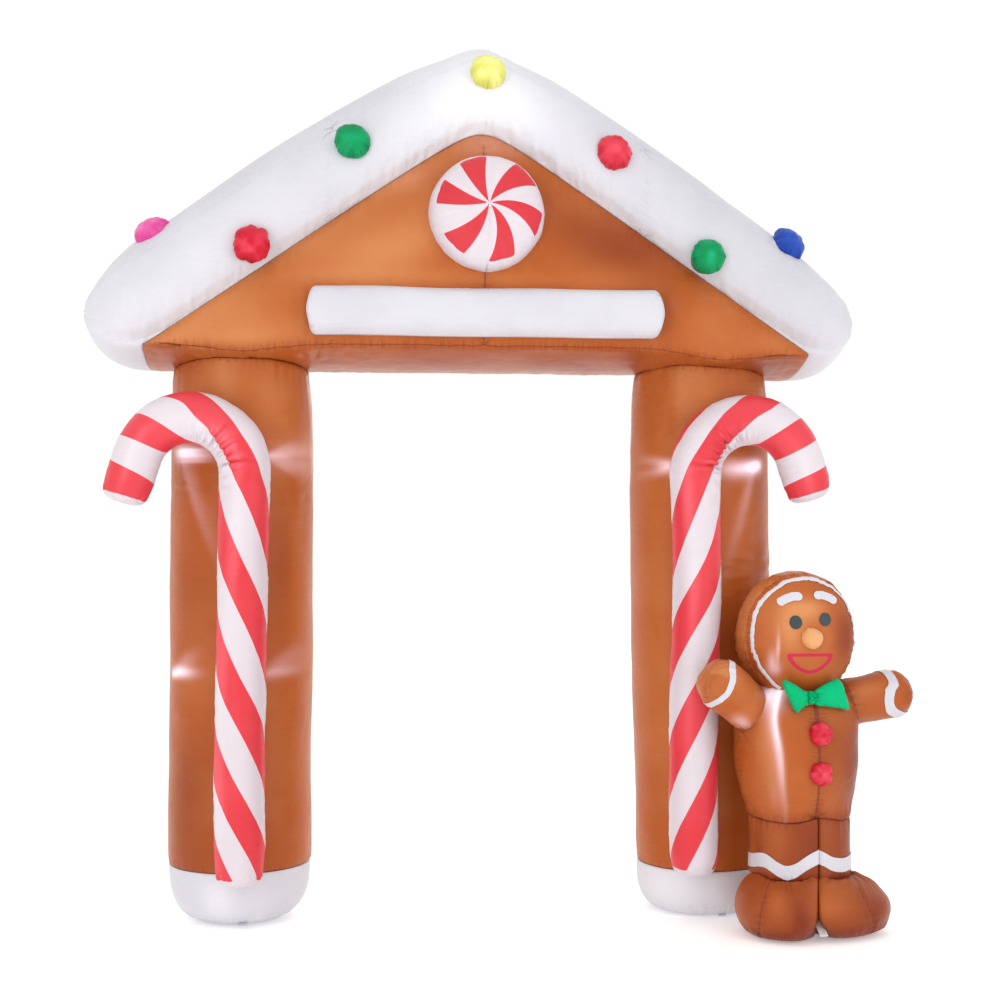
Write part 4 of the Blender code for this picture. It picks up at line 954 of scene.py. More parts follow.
def makeColumn(side):
    rows = column["profile"][side]
    height = np.linspace(rows[0][0], rows[-1][0], column["rows"])
    angle = onceRound(column["sides"])
    gridHeight, gridAngle = crossGrid(height, angle)
    points = layCloth(columnBase(side), columnRelief(side), gridAngle, gridHeight, steps=(1e-3, 1e-3))
    toTop = rows[-1][0] - gridHeight
    toBottom = gridHeight - rows[0][0]
    toBack = np.abs(angleGap(gridAngle, math.pi)) * 0.22
    seam = np.minimum(np.minimum(toTop, toBottom), toBack)
    run = np.where(toBack < np.minimum(toTop, toBottom), gridHeight, gridAngle * 0.22)
    degrees = degreesRound(gridAngle)
    # painted lamp glow
    glow = spots(degrees, gridHeight, column["lamps"][side])
    middleSeed = 0.0 if side == "left" else 3.3
    streaks = np.stack([np.cos(gridAngle) * 0.2, np.sin(gridAngle) * 0.2, gridHeight * 0.10], -1)
    # painted light and shade, with slow random streaky unevenness
    paintedLightAndMottle = spots(degrees, gridHeight, column["paintedShading"][side]) + uneven(streaks + middleSeed, 521) * 0.9
    piece = makeSkin("columnSkin_" + side, points, {"seam": seam, "run": run, "glow": glow, "paintedLightAndMottle": paintedLightAndMottle})
    dress(piece, "column_" + side, brownSatin)

    low, wide, shift = rows[0]
    middle = column["middles"][side] + shift
    baseRows = [(share * (low - 0.0005), radiusShare * wide)
                for share, radiusShare in column["baseProfile"][side]]
    t = np.linspace(0, 1, column["baseRows"])
    z = baseRows[-1][0] * t**1.7
    gridZ, gridAngle = crossGrid(z, angle)

    def base(a, h):
        radius = smoothTable(baseRows, h)[..., 0]
        return np.stack([middle + radius * np.sin(a), -radius * np.cos(a), h], -1) + archShift

    def relief(a, h, p):
        toTop = baseRows[-1][0] - h
        low = hump(h, 0.03, 0.035)
        raised = 0.0030 * low * gathersRound(a, 0.2, h, 0.022, 171)
        raised += ringFolds(0.0016, a, 0.2, toTop, 0.030, 173, 0.04)
        raised += 0.0025 * softNoise(p, 0.12, 175)
        return raised * np.clip(h / 0.02, 0, 1) * np.clip(0.3 + toTop / 0.02, 0, 1)

    points = layCloth(base, relief, gridAngle, gridZ, steps=(1e-3, 1e-5))
    points[..., 2] = np.maximum(points[..., 2], 0.0)
    seam = np.minimum(baseRows[-1][0] - gridZ, np.abs(gridZ - 0.030) + 0.001)
    degrees = degreesRound(gridAngle)
    # painted light and shade on the base, with slow random unevenness
    paintedLightAndMottle = spots(degrees, gridZ, column["basePaintedShading"][side]) + uneven(points, 531, 0.8)
    piece = makeSkin("baseSkin_" + side, points, {"seam": seam, "run": gridAngle * 0.2, "paintedLightAndMottle": paintedLightAndMottle})
    dress(piece, "base_" + side, whiteSatin)


for side in ("left", "right"):
    makeColumn(side)
print("columns done")


# the candy canes
cane = {
    "radius": 0.0745, "swell": 0.04, "drawnIn": 0.13, "bottom": 0.178, "hookHeight": 1.3745,
    "hookTurn": 163.0,
    "capRows": [(-0.020, 0.02), (-0.0195, 0.30), (-0.016, 0.66), (-0.008, 0.90), (0.0, 1.0)],
    "rows": 360, "sides": 88,
    "foldAt": 84.0,              # degrees from the front to the seam between front and back cloth
    # hard creases where the hook folds: place in hook radii, depth, width, degrees they reach round
    "creases": [(-0.12, 0.004, 0.005, 60), (0.18, 0.017, 0.006, 104), (0.36, 0.006, 0.004, 66),
                (0.52, 0.008, 0.004, 80), (0.68, 0.006, 0.004, 70), (0.86, 0.017, 0.006, 98),
                (1.04, 0.006, 0.004, 62), (1.26, 0.005, 0.005, 70)],
    # painted highlights and shade; rows as in spots: degrees round from the front, metres along
    "paintedShading": {
        "left": [(-12, 1.28, 16, 14, 0.10, 0.12, 0, 0.62), (-20, 0.95, 18, 14, 0.18, 0.18, 30, 0.50),
                 (-42, 0.62, 18, 16, 0.20, 0.18, 30, 0.48), (-46, 0.28, 18, 16, 0.26, 0.18, 10, 0.45),
                 (52, 0.95, 30, 36, 0.5, 0.3, 0, -0.50), (48, 0.35, 30, 36, 0.5, 0.3, 0, -0.40),
                 (8, 1.66, 12, 10, 0.10, 0.10, 0, 0.60), (-70, 1.55, 24, 20, 0.08, 0.12, 0, -0.35)],
        "right": [(-30, 1.12, 16, 14, 0.14, 0.12, 0, 0.62), (-18, 0.84, 16, 14, 0.16, 0.16, 20, 0.52),
                  (-22, 0.50, 16, 12, 0.20, 0.18, 0, 0.34), (50, 0.30, 34, 40, 0.4, 0.3, 0, -0.50),
                  (40, 1.33, 22, 30, 0.12, 0.12, 0, -0.40), (-62, 0.55, 16, 20, 0.5, 0.5, 0, -0.25),
                  (10, 1.70, 12, 12, 0.12, 0.10, 0, 0.50), (35, 1.60, 18, 16, 0.08, 0.08, 0, 0.20)],
    },
    "left": {"shaftX": -0.708, "shaftY": -0.286, "lean": -0.022, "hookRadius": 0.161,
             "stripedRadius": 0.158, "way": -1,
             "tipLength": 0.124, "sway": [(0.0, 0.006), (0.20, 0.006), (0.50, 0.0), (2.0, 0.0)],
             # height along the cane, count of stripes passed at the front, stripes per radian round it
             "stripes": [(0.0, -0.427, 0.43), (0.129, 0.0, 0.43), (0.280, 0.5, 0.42), (0.445, 1.0, 0.41),
                         (0.601, 1.5, 0.42), (0.776, 2.0, 0.42), (0.9425, 2.5, 0.43), (1.1225, 3.0, 0.43),
                         (1.20, 3.22, 0.44), (1.28, 3.314, 0.486), (1.34, 3.24, 0.48), (1.38, 3.12, 0.47),
                         (1.417, 3.0, 0.40), (1.45, 2.83, 0.318), (1.4825, 2.70, 0.286),
                         (1.52, 2.5, 0.23),
                         (1.56, 2.25, 0.15), (1.599, 2.0, 0.06), (1.64, 1.75, 0.0), (1.6825, 1.5, -0.07),
                         (1.739, 1.17, -0.10)]},
    "right": {"shaftX": 0.651, "shaftY": -0.272, "lean": -0.006, "hookRadius": 0.167,
              "stripedRadius": 0.167, "way": 1,
              "tipLength": 0.113,
              "sway": [(0.0, -0.001), (0.55, -0.003), (0.70, -0.002), (0.90, 0.004), (1.12, 0.006),
                       (1.30, 0.001), (1.40, 0.0)],
              "stripes": [(0.0, -0.234, 0.41), (0.079, 0.0, 0.41), (0.2475, 0.5, 0.41),
                          (0.4225, 1.0, 0.41),
                          (0.591, 1.5, 0.40), (0.760, 2.0, 0.38), (0.9225, 2.5, 0.42), (1.11, 3.0, 0.44),
                          (1.204, 3.25, 0.477), (1.241, 3.34, 0.485), (1.285, 3.379, 0.505),
                          (1.335, 3.333, 0.53),
                          (1.3725, 3.264, 0.473), (1.41, 3.167, 0.434), (1.454, 3.0, 0.35),
                          (1.4975, 2.843, 0.30),
                          (1.516, 2.714, 0.273), (1.551, 2.5, 0.19), (1.592, 2.25, 0.09),
                          (1.634, 2.0, 0.0),
                          (1.676, 1.75, -0.03), (1.716, 1.5, -0.062), (1.765, 1.2, -0.08)]},
}


# where the centre line is, and which way it heads, "along" metres from the bottom
def caneLine(shape, along):
    shaft = cane["hookHeight"] - cane["bottom"]
    turn = math.radians(cane["hookTurn"])
    radius, way = shape["hookRadius"], shape["way"]
    angle = np.clip((along - shaft) / radius, 0, turn)
    tip = np.maximum(along - shaft - radius * turn, 0)
    z = cane["bottom"] + np.minimum(along, shaft)
    sway = smoothTable(shape["sway"], z)[..., 0]
    leanX = shape["shaftX"] + shape["lean"] * (1 - z / cane["hookHeight"]) + sway
    x = leanX + way * radius * (1 - np.cos(angle)) + way * tip * math.sin(math.pi - turn)
    z = z + radius * np.sin(angle) - tip * math.cos(math.pi - turn)
    headX = np.where(along < shaft, -shape["lean"] / cane["hookHeight"], way * np.sin(angle))
    headZ = np.where(along < shaft, 1.0, np.cos(angle))
    return x, z, headX, headZ, angle


def caneBase(shape, length):
    def base(angle, along):
        inside = np.clip(along, 0, length)
        x, z, headX, headZ, turned = caneLine(shape, inside)
        beyond = along - inside
        share = smoothTable(cane["capRows"], -np.abs(beyond))[..., 0]
        intoHook = np.clip((z - 1.25) / 0.12, 0, 1)
        pastTop = np.clip((turned - 1.4) / 1.3, 0, 1)
        pastTop = pastTop * pastTop * (3 - 2 * pastTop)
        toEnd = np.minimum(inside, length - inside)
        radius = cane["radius"] * share * (1 + cane["swell"] * (intoHook * (1 - pastTop) - pastTop))
        radius = radius * (1 - cane["drawnIn"] * np.exp(-toEnd / 0.026))
        side, front = radius * np.sin(angle), radius * np.cos(angle)
        return np.stack([x + headX * beyond + headZ * side, shape["shaftY"] - front,
                         z + headZ * beyond - headX * side], -1) + archShift
    return base


# metres inside (plus) or outside (minus) a red stripe; the back cloth mirrors the front one
def caneStripes(shape, angle, along, length):
    around = angleGap(angle, 0.0)
    around = np.where(np.abs(around) > math.pi / 2, np.sign(around) * math.pi - around, around)
    # the stripes' table was laid out with the hook starting at 1.19 along
    shaft, turn = cane["hookHeight"] - cane["bottom"], math.radians(cane["hookTurn"])
    drawn = np.interp(along, [0, shaft - 0.25, shaft, shaft + shape["hookRadius"] * turn, length + 1],
                      [0, shaft - 0.25, 1.19, 1.19 + shape["stripedRadius"] * turn,
                       1.19 + shape["stripedRadius"] * turn + length + 1 - shaft
                       - shape["hookRadius"] * turn])
    passed, turned = readRows(shape["stripes"], drawn)
    count = passed - shape["way"] * turned * around
    paint = (0.25 - np.abs((count + 0.25) % 1.0 - 0.5)) / 6.3
    atFold = np.abs(np.abs(around) - math.radians(cane["foldAt"])) * cane["radius"]
    paint = np.minimum(paint, atFold - 0.0016)
    return np.minimum(paint, np.minimum(along, length - along) - 0.003)


def makeCane(side):
    shape = cane[side]
    turn = math.radians(cane["hookTurn"])
    shaft = cane["hookHeight"] - cane["bottom"]
    length = shaft + shape["hookRadius"] * turn + shape["tipLength"]
    capOut = np.array([0.020, 0.0198, 0.0192, 0.018, 0.016, 0.013, 0.0095, 0.006, 0.003])
    shares = np.interp(np.linspace(0, 1, cane["rows"]), [0, 0.35, 1], [0, (shaft - 0.06) / length, 1])
    along = np.concatenate([-capOut, shares * length, length + capOut[::-1]])
    angle = onceRound(cane["sides"])
    gridAlong, gridAngle = crossGrid(along, angle)
    seed = 201 if side == "left" else 221

    # the cloth crumples in ridges across the front of the hook's inner half
    def crumple(a, s):
        turned = np.clip((s - shaft) / shape["hookRadius"], 0, turn)
        bend = hump(turned, 0.75, 0.72) * (turned > 0) + 0.30 * hump(s, shaft, 0.10)
        fromInner = np.abs(np.degrees(angleGap(a, shape["way"] * math.pi / 2)))
        fan = s + 0.012 * softNoise(np.stack([s * 0 + 5.1, fromInner / 60, s], -1), 0.5, seed + 9)
        ridges = gathers(fan, fromInner * 0.0013, 0.017, seed, 3.0)
        streak = 0.5 + 0.5 * softNoise(np.stack([s, s * 0, s * 0], -1), 0.02, seed + 12)
        rise = np.clip((fromInner - 18) / 24, 0, 1)
        rise = rise * rise * (3 - 2 * rise)                   # the inner side itself stays smooth
        fall = np.exp(-((np.clip(fromInner - 50, 0, 200) / (20 + 34 * streak)) ** 2))
        raised = 0.0070 * bend * ridges * rise * fall
        sunk = s * 0.0
        for place, depth, width, reach in cane["creases"]:
            at = shaft + place * shape["hookRadius"]
            sharp = np.exp(-np.abs(fan - at) / width) - 0.45 * np.exp(-((fan - at) / (width * 3)) ** 2)
            sunk = sunk + depth * sharp * (0.12 + 0.88 * rise) * np.exp(-((fromInner / reach) ** 4))
        return raised - sunk

    def relief(a, s, p):
        toEnd = np.minimum(s, length - s)
        raised = crumple(a, s)
        capless = np.where(toEnd < 0, 0.5, 1.0)
        atEnd = np.exp(-np.abs(toEnd) / 0.020)
        raised = raised + 0.0040 * capless * gathersRound(a, 0.075, toEnd, 0.017, seed + 3) * atEnd
        raised -= 0.0022 * np.exp(-((toEnd / 0.004) ** 2))
        raised += 0.0022 * softNoise(p, 0.10, seed + 5) + 0.0008 * softNoise(p, 0.035, seed + 6)
        raised += 0.0009 * gathers(s, np.abs(np.cos(a)) * 0.07, 0.026, seed + 8)
        return raised * np.clip(1 - np.abs(np.minimum(toEnd, 0)) / 0.018, 0, 1)

    points = layCloth(caneBase(shape, length), relief, gridAngle, gridAlong, steps=(1e-3, 2e-4))
    # pressed against the column and base behind it
    middle = column["middles"][side]
    local = points - archShift
    z = local[..., 2]
    radius, shift = readRows(column["profile"][side], z)
    reach = radius**2 - (local[..., 0] - middle - shift) ** 2
    wall = np.where((reach > 0) & (z < 1.745), -np.sqrt(np.maximum(reach, 0)) - 0.0010, 9.0)
    points[..., 1] = np.minimum(local[..., 1], wall) + archShift[1]

    paint = caneStripes(shape, angleGap(gridAngle, 0.0), gridAlong, length)
    toEnd = np.minimum(np.abs(gridAlong), np.abs(length - gridAlong))
    degrees = degreesRound(gridAngle)
    # painted highlights and shade, with slow random unevenness
    paintedLightAndMottle = spots(degrees, gridAlong, cane["paintedShading"][side]) + uneven(points, 541, 0.8)
    # less light gets into the folds
    paintedLightAndMottle += np.clip(crumple(gridAngle, gridAlong) * 90, -0.9, 0.4)
    marks = {"seam": np.maximum(toEnd, 0.0045), "run": gridAngle * 0.075, "paint": paint, "paintedLightAndMottle": paintedLightAndMottle}
    piece = makeSkin("caneSkin_" + side, points, marks)
    return dress(piece, "cane_" + side, stripedSatin)


for side in ("left", "right"):
    makeCane(side)
print("canes done")


# the round peppermint on the gable
sweet = {
    "centre": (0.008, 2.155), "radius": 0.1745, "puff": 0.098,
    # share of the front's rows, how far it puffs, share of the radius
    "profile": [(0.0, 0.0, 1.0), (0.10, 0.010, 1.0), (0.30, 0.045, 0.955), (0.50, 0.072, 0.83),
                (0.68, 0.090, 0.62), (0.86, 0.0975, 0.34), (1.0, 0.0998, 0.008), (1.1, 0.0999, -0.10)],
    "hub": (0.0005, 0.016),       # where the blades meet, from the middle
    # each blade: degrees round, half its width, and how far it swirls out to the rim
    "blades": [(118.0, 17.0, -16.0), (55.0, 17.0, -22.0), (0.0, 13.0, -26.0), (-50.5, 14.0, -31.0),
               (-115.0, 15.5, -22.0), (175.0, 15.0, -16.0)],
    "columns": 186, "frontRows": 84,
}


def beamFrontWorld(points):
    local = points - archShift
    x, z = local[..., 0], local[..., 2]
    inPanel = (z > seamHeight(x)) & (z < roofline(x))
    return inPanel & (local[..., 1] > -frontDepth(x, z))


def makeSweet():
    centreX, centreZ = sweet["centre"]
    rim = float(frontDepth(np.array(centreX), np.array(centreZ))) - 0.012
    t = np.linspace(0, 1, sweet["frontRows"])
    forward, share = readRows(sweet["profile"], t)
    forward = forward * sweet["puff"] / 0.0995
    angle = onceRound(sweet["columns"], -math.pi / 2)
    gridForward, gridAngle = crossGrid(forward, angle)
    gridShare = crossGrid(share, angle)[0]

    def place(radius, depth, a):
        return np.stack([centreX + radius * np.cos(a), -rim - depth, centreZ + radius * np.sin(a)],
                        -1) + archShift

    toRim = (1 - gridShare) * sweet["radius"]
    lump = ringFolds(0.0042, gridAngle, 0.17, toRim, 0.030, 241, 0.040)
    lump += ringFolds(0.0016, gridAngle, 0.17, toRim, 0.045, 245, 0.12)
    lump += 0.0030 * softNoise(discPlace(gridShare, gridAngle) * 0.176, 0.075, 247)
    down = hump(angleGap(gridAngle, 1.5 * math.pi), 0.0,
                0.035 / np.maximum(gridShare, 0.12)) * (gridShare > 0.05)
    lump -= 0.0040 * down
    outline = 1 + 0.004 * np.cos(gridAngle * 6 + 1.0)
    outline = outline + 0.016 * hump(angleGap(gridAngle, 1.5 * math.pi), 0.0, 0.16)
    radius = gridShare * sweet["radius"] * outline
    points = place(radius + lump * np.clip(gridShare, 0, 1) ** 2 * 0.25,
                   gridForward + lump * (1 - gridShare**4), gridAngle)

    # the root follows the beam's front
    rootRows = []
    for shareIn in (1.0, 0.99):
        shallow = place(np.full(angle.shape, sweet["radius"] * shareIn * 0.995),
                        np.full(angle.shape, -0.0), angle)
        deep = place(np.full(angle.shape, sweet["radius"] * shareIn * 0.97), np.full(angle.shape, -0.10),
                     angle)
        rootRows.append(meetSurface(shallow, deep, beamFrontWorld, 0.003 if shareIn < 1 else 0.001))
    floorRows = []
    for shareIn in (0.85, 0.45, 0.05):
        x = centreX + sweet["radius"] * shareIn * np.cos(angle)
        z = centreZ + sweet["radius"] * shareIn * np.sin(angle)
        floorRows.append(np.stack([x, -frontDepth(x, z) + 0.004, z], -1) + archShift)
    points = np.concatenate([np.array(floorRows[::-1]), np.array(rootRows[::-1]), points])

    # curved blades that meet at the hub, each with a scalloped outer edge
    x = gridShare * np.cos(gridAngle) * sweet["radius"] - sweet["hub"][0]
    z = gridShare * np.sin(gridAngle) * sweet["radius"] - sweet["hub"][1]
    fromHub, turned = np.hypot(x, z), np.arctan2(z, x)
    paint = np.full(x.shape, -0.02)
    for degrees, half, swirl in sweet["blades"]:
        aside = angleGap(turned,
                         math.radians(degrees + 4) + math.radians(swirl) * fromHub / sweet["radius"])
        inBlade = (math.radians(half) - np.abs(aside)) * fromHub - 0.0008
        scallop = 0.0022 * np.abs(np.sin(aside * 9))
        rimLine = (0.895 + 0.045 * np.sin(gridAngle + 0.5) - gridShare) * sweet["radius"] + scallop
        paint = np.maximum(paint, np.minimum(inBlade, rimLine))
    # painted shade and light along the gathers, slow random unevenness, and a deeper red in the blades
    paintedLightAndMottle = 0.16 * gathersRound(gridAngle, 0.17, toRim, 0.020, 249, 12.0)
    paintedLightAndMottle += uneven(points[-len(paint):], 545, 0.8)
    paintedLightAndMottle -= 0.50 * (paint > 0)
    hidden = np.full((len(points) - len(paint), paint.shape[1]), -0.02)
    paintedLightAndMottle = np.concatenate([hidden * 0, paintedLightAndMottle])
    paint = np.concatenate([hidden, paint])
    seam = np.concatenate([np.zeros_like(hidden) + 0.0015, np.maximum(toRim, 0.0)])
    run = np.broadcast_to(angle * 0.17, paint.shape)
    piece = makeSkin("sweetSkin", points, {"paint": paint, "seam": seam, "run": run, "paintedLightAndMottle": paintedLightAndMottle})
    return dress(piece, "peppermint", stripedSatin)


makeSweet()


panel = {
    "centre": (0.008, 1.859), "halfLength": 0.532, "halfHeight": 0.0725, "puff": 0.060,
    "endRounding": 0.028, "columns": 240, "across": 48,
}


def makePanel():
    centreX, centreZ = panel["centre"]
    straight = panel["halfLength"] - panel["endRounding"]
    inner = np.linspace(0, straight, panel["columns"] // 2 - 14)
    endTurn = np.sin(np.linspace(0, 1, 15)[1:] * math.pi / 2 * 0.97)
    half = np.concatenate([inner, straight + panel["endRounding"] * endTurn])
    x = np.concatenate([-half[:0:-1], half])
    past = np.clip((np.abs(x) - straight) / panel["endRounding"], 0, 0.9999)
    share = (1 - past**2.8) ** (1 / 2.8)
    angle = np.linspace(-math.pi / 2, math.pi / 2, panel["across"])
    gridX, gridAngle = crossGrid(x, angle)
    gridShare = crossGrid(share, angle)[0]
    rim = frontDepth(centreX + gridX, centreZ)
    toEdge = (1 - np.abs(np.sin(gridAngle))) * panel["halfHeight"] * gridShare
    toTip = (panel["halfLength"] - np.abs(gridX))
    lump = seamFolds(0.0030, gridX + np.where(gridAngle > 0, 3.1, 0), toEdge, 0.036, 261, 0.030)
    lump += seamFolds(0.0030, np.sin(gridAngle) * 0.08, toTip, 0.022, 267, 0.035)
    flat = np.stack([gridX, gridAngle * 0.05, gridX * 0], -1)
    lump += 0.0030 * softNoise(flat, 0.085, 269) + 0.0012 * gathers(gridX, toEdge, 0.050, 271)
    bow = 1 + 0.018 * np.sin(gridX * 14.0) * np.sin(gridAngle) + 0.012 * softNoise(flat, 0.11, 273)
    y = -rim - (panel["puff"] + lump) * gridShare**0.5 * np.cos(gridAngle) ** 0.8
    z = centreZ + panel["halfHeight"] * gridShare * np.sin(gridAngle) * bow
    nearTip = np.clip((np.abs(gridX) - 0.45) / 0.08, 0, 1)
    tipBow = 0.006 * (1 - np.sin(gridAngle) ** 2) * np.sign(gridX) * nearTip
    front = np.stack([centreX + gridX + tipBow, y, z], -1)
    # back of the panel follows the beam
    backRows = []
    for t in (0.985, 0.5, -0.5, -0.985):
        zBack = centreZ + panel["halfHeight"] * share * t
        backRows.append(np.stack([centreX + x, -frontDepth(centreX + x, zBack) + 0.003, zBack], -1))
    back = np.stack(backRows, 1)
    points = np.concatenate([front, back], 1) + archShift
    hidden = np.zeros(back.shape[:2])
    seam = np.concatenate([np.minimum(toEdge, toTip), hidden + 0.001], 1)
    run = np.concatenate([np.where(toEdge < toTip, gridX, np.sin(gridAngle) * 0.07), hidden], 1)
    piece = makeSkin("panelSkin", points, {"seam": seam, "run": run})
    return dress(piece, "sign", whiteSatin)


makePanel()


gumdrop = {
    "radius": 0.0540, "puff": 0.048, "root": 0.045, "rows": 40, "sides": 88,
    "profile": [(0.0, 0.0, 0.94), (0.14, 0.010, 1.0), (0.36, 0.024, 0.94), (0.58, 0.037, 0.74),
                (0.80, 0.045, 0.42), (0.96, 0.048, 0.10), (1.0, 0.0481, 0.01), (1.04, 0.0480, -0.1)],
}
gumdropRows = [
    ("gumdrop_yellow", "yellow_cloth", (0.012, -0.282, 2.585), (0.02, -0.97, 0.22)),
    ("gumdrop_green_left", "green_cloth", (-0.394, -0.293, 2.362), (-0.05, -0.99, 0.12)),
    ("gumdrop_red_left", "red_cloth", (-0.690, -0.298, 2.049), (-0.02, -1.00, 0.02)),
    ("gumdrop_pink", "pink_cloth", (-0.990, -0.165, 2.098), (-0.42, -0.64, 0.64)),
    ("gumdrop_red_right", "red_cloth", (0.397, -0.290, 2.349), (0.05, -0.99, 0.12)),
    ("gumdrop_green_right", "green_cloth", (0.686, -0.298, 2.038), (0.02, -1.00, 0.02)),
    ("gumdrop_blue", "blue_cloth", (0.960, -0.200, 2.092), (0.36, -0.78, 0.50)),
]


def insideRoof(points):
    local = points - archShift
    x, z = local[..., 0], local[..., 2]
    edge, high, widthShare = roofEnds(x)[1:]
    share = (z - edge) / (high - edge)
    rises = np.array([r[1] for r in roofSideRows[:8]])
    depths = np.array([r[2] for r in roofSideRows[:8]])
    depth = np.interp(np.clip(share, 0, 1), rises, depths) * widthShare
    return (share < 1) & (share > 0) & (np.abs(local[..., 1]) < depth)


def makeGumdrop(name, slot, place, out, seed):
    turn = Vector((0, 0, 1)).rotation_difference(Vector(out).normalized()).to_matrix()
    turn = np.array(turn)
    t = np.linspace(0, 1, gumdrop["rows"])
    rise, share = readRows(gumdrop["profile"], t)
    angle = onceRound(gumdrop["sides"], -math.pi / 2)
    gridRise, gridAngle = crossGrid(rise, angle)
    gridShare = crossGrid(share, angle)[0]
    toRim = (1 - gridShare) * gumdrop["radius"]
    flat = discPlace(gridShare, gridAngle, seed * 5.7)
    drawn = ringFolds(0.0042, gridAngle, 0.054, toRim, 0.040, 281 + seed, 0.018)
    drawn = drawn + ringFolds(0.0012, gridAngle, 0.054, toRim, 0.013, 285 + seed, 0.012)
    fine = 0.5 * np.abs(softNoise(flat, 0.27, 293))
    lumps = 0.0046 * (np.abs(softNoise(flat, 0.60, 291)) + fine - 0.42)

    def world(radius, height, a):
        local = np.stack([radius * np.cos(a), radius * np.sin(a), height], -1)
        return local @ turn.T + np.array(place) + archShift

    radius = gridShare * gumdrop["radius"] + (drawn + lumps) * gridShare
    points = world(radius, gridRise + lumps * (1 - gridShare**2) + drawn * 0.5 * gridShare**3, gridAngle)
    deep = world(np.full(angle.shape, gumdrop["radius"] * 0.80), np.full(angle.shape, -gumdrop["root"]),
                 angle)
    foot = meetSurface(points[0], deep, insideRoof, 0.002)
    inner = world(np.full(angle.shape, gumdrop["radius"] * 0.35), np.full(angle.shape, 0.012), angle)
    innerDeep = world(np.full(angle.shape, gumdrop["radius"] * 0.35),
                      np.full(angle.shape, -gumdrop["root"]), angle)
    floor = meetSurface(inner, innerDeep, insideRoof, 0.002)
    points = np.concatenate([floor[None], foot[None], points])
    seam = np.concatenate([np.zeros((2, len(angle))) + 0.0036, np.maximum(toRim, 0) * 0.8 + 0.0036])
    run = np.broadcast_to(angle * 0.057, seam.shape)
    # a painted highlight in the middle, with random unevenness
    paintedLightAndMottle = 0.34 * hump(gridShare, 0.0, 0.8) + 0.5 * softNoise(flat, 0.42, 295)
    paintedLightAndMottle = np.concatenate([np.zeros((2, len(angle))), paintedLightAndMottle])
    piece = makeSkin(name + "_skin", points, {"seam": seam, "run": run, "paintedLightAndMottle": paintedLightAndMottle})
    satin = "satin_" + slot
    material = bpy.data.materials.get(satin) or clothMaterial(satin, cloths[slot], glowing=False)
    return dress(piece, name, material)


for seed, row in enumerate(gumdropRows):
    makeGumdrop(*row, seed)
print("trim on the beam and roof done")


# the biscuit figure: where it stands, and degrees it is turned
figure = {"place": (0.951, -0.337), "turn": 7.5}
figureTurn = Matrix.Rotation(math.radians(figure["turn"]), 4, "Z")
figureToWorld = np.array(Matrix.Translation((*figure["place"], 0.0)) @ figureTurn)
headToFigure = np.array(Matrix.Rotation(math.radians(-8.5), 4, "Z"))


def toWorld(points, matrix=figureToWorld):
    return points @ matrix[:3, :3].T + matrix[:3, 3] + archShift


body = {
    # height, half width, half depth, forward
    "sections": [(0.34525, 0.1465, 0.121, -0.002), (0.370, 0.1555, 0.133, -0.006),
                 (0.420, 0.171, 0.155, -0.012),
                 (0.500, 0.183, 0.172, -0.016), (0.580, 0.183, 0.170, -0.016),
                 (0.650, 0.174, 0.150, -0.010),
                 (0.700, 0.150, 0.118, 0.0), (0.735, 0.120, 0.088, 0.0), (0.754, 0.070, 0.050, 0.0),
                 (0.760, 0.030, 0.022, 0.0)],
    "power": 2.15, "shoulderPower": 0.7, "rows": 124, "sides": 140,
    # painted highlight streaks, and painted light and shade (rows as in spots, across in degrees)
    "shine": [(-36.5, 0.60, 4.8, 2.6, 0.16, 0.135, -20, 0.70), (-41, 0.68, 9, 6, 0.10, 0.08, -12, 0.36),
              (-54, 0.722, 28, 22, 0.045, 0.05, 0, 1.05), (-44, 0.42, 5, 6, 0.04, 0.08, 0, 0.08)],
    "paintedShading": [(-46, 0.56, 16, 14, 0.12, 0.12, 0, 0.50), (-20, 0.50, 8, 10, 0.06, 0.06, 0, 0.05),
              (0, 0.52, 99, 99, 0.3, 0.3, 0, -0.12),
              (-76, 0.47, 14, 16, 0.12, 0.16, 0, 0.02), (54, 0.52, 30, 30, 0.22, 0.2, 0, -0.98),
              (6, 0.56, 16, 24, 0.12, 0.10, 0, -0.22),
              (78, 0.55, 14, 30, 0.2, 0.2, 0, -0.50), (0, 0.350, 90, 90, 0.03, 0.025, 0, -0.40),
              (0, 0.36, 4, 4, 0.04, 0.05, 0, -0.30), (180, 0.52, 60, 60, 0.2, 0.2, 0, 0.15)],
}
legs = {
    "ankle": 0.172, "waist": 0.345, "reach": 0.1455, "middle": 0.003, "split": 0.013, "halfDepth": 0.124,
    "power": 2.6, "press": 18.0,
    "shape": [(0.172, 0.990), (0.182, 1.0), (0.230, 1.0), (0.290, 1.0), (0.334, 1.0), (0.34475, 0.985)],
    "rows": 60, "sides": 120,
    # painted light and shade (rows as in spots, across in degrees)
    "paintedShading": {"left": [(-32, 0.29, 22, 26, 0.09, 0.06, 0, 0.30), (55, 0.27, 34, 40, 0.1, 0.1, 0, -0.45),
                       (-75, 0.26, 14, 12, 0.1, 0.1, 0, -0.28), (0, 0.18, 99, 99, 0.02, 0.016, 0, -0.30),
                       (0, 0.26, 99, 99, 0.4, 0.4, 0, -0.74)],
              "right": [(-75, 0.27, 30, 12, 0.1, 0.1, 0, -0.40), (-30, 0.30, 20, 20, 0.06, 0.06, 0, 0.10),
                        (70, 0.27, 26, 30, 0.1, 0.1, 0, -0.30), (0, 0.18, 99, 99, 0.02, 0.016, 0, -0.30),
                        (0, 0.26, 99, 99, 0.4, 0.4, 0, -0.80)]},
}
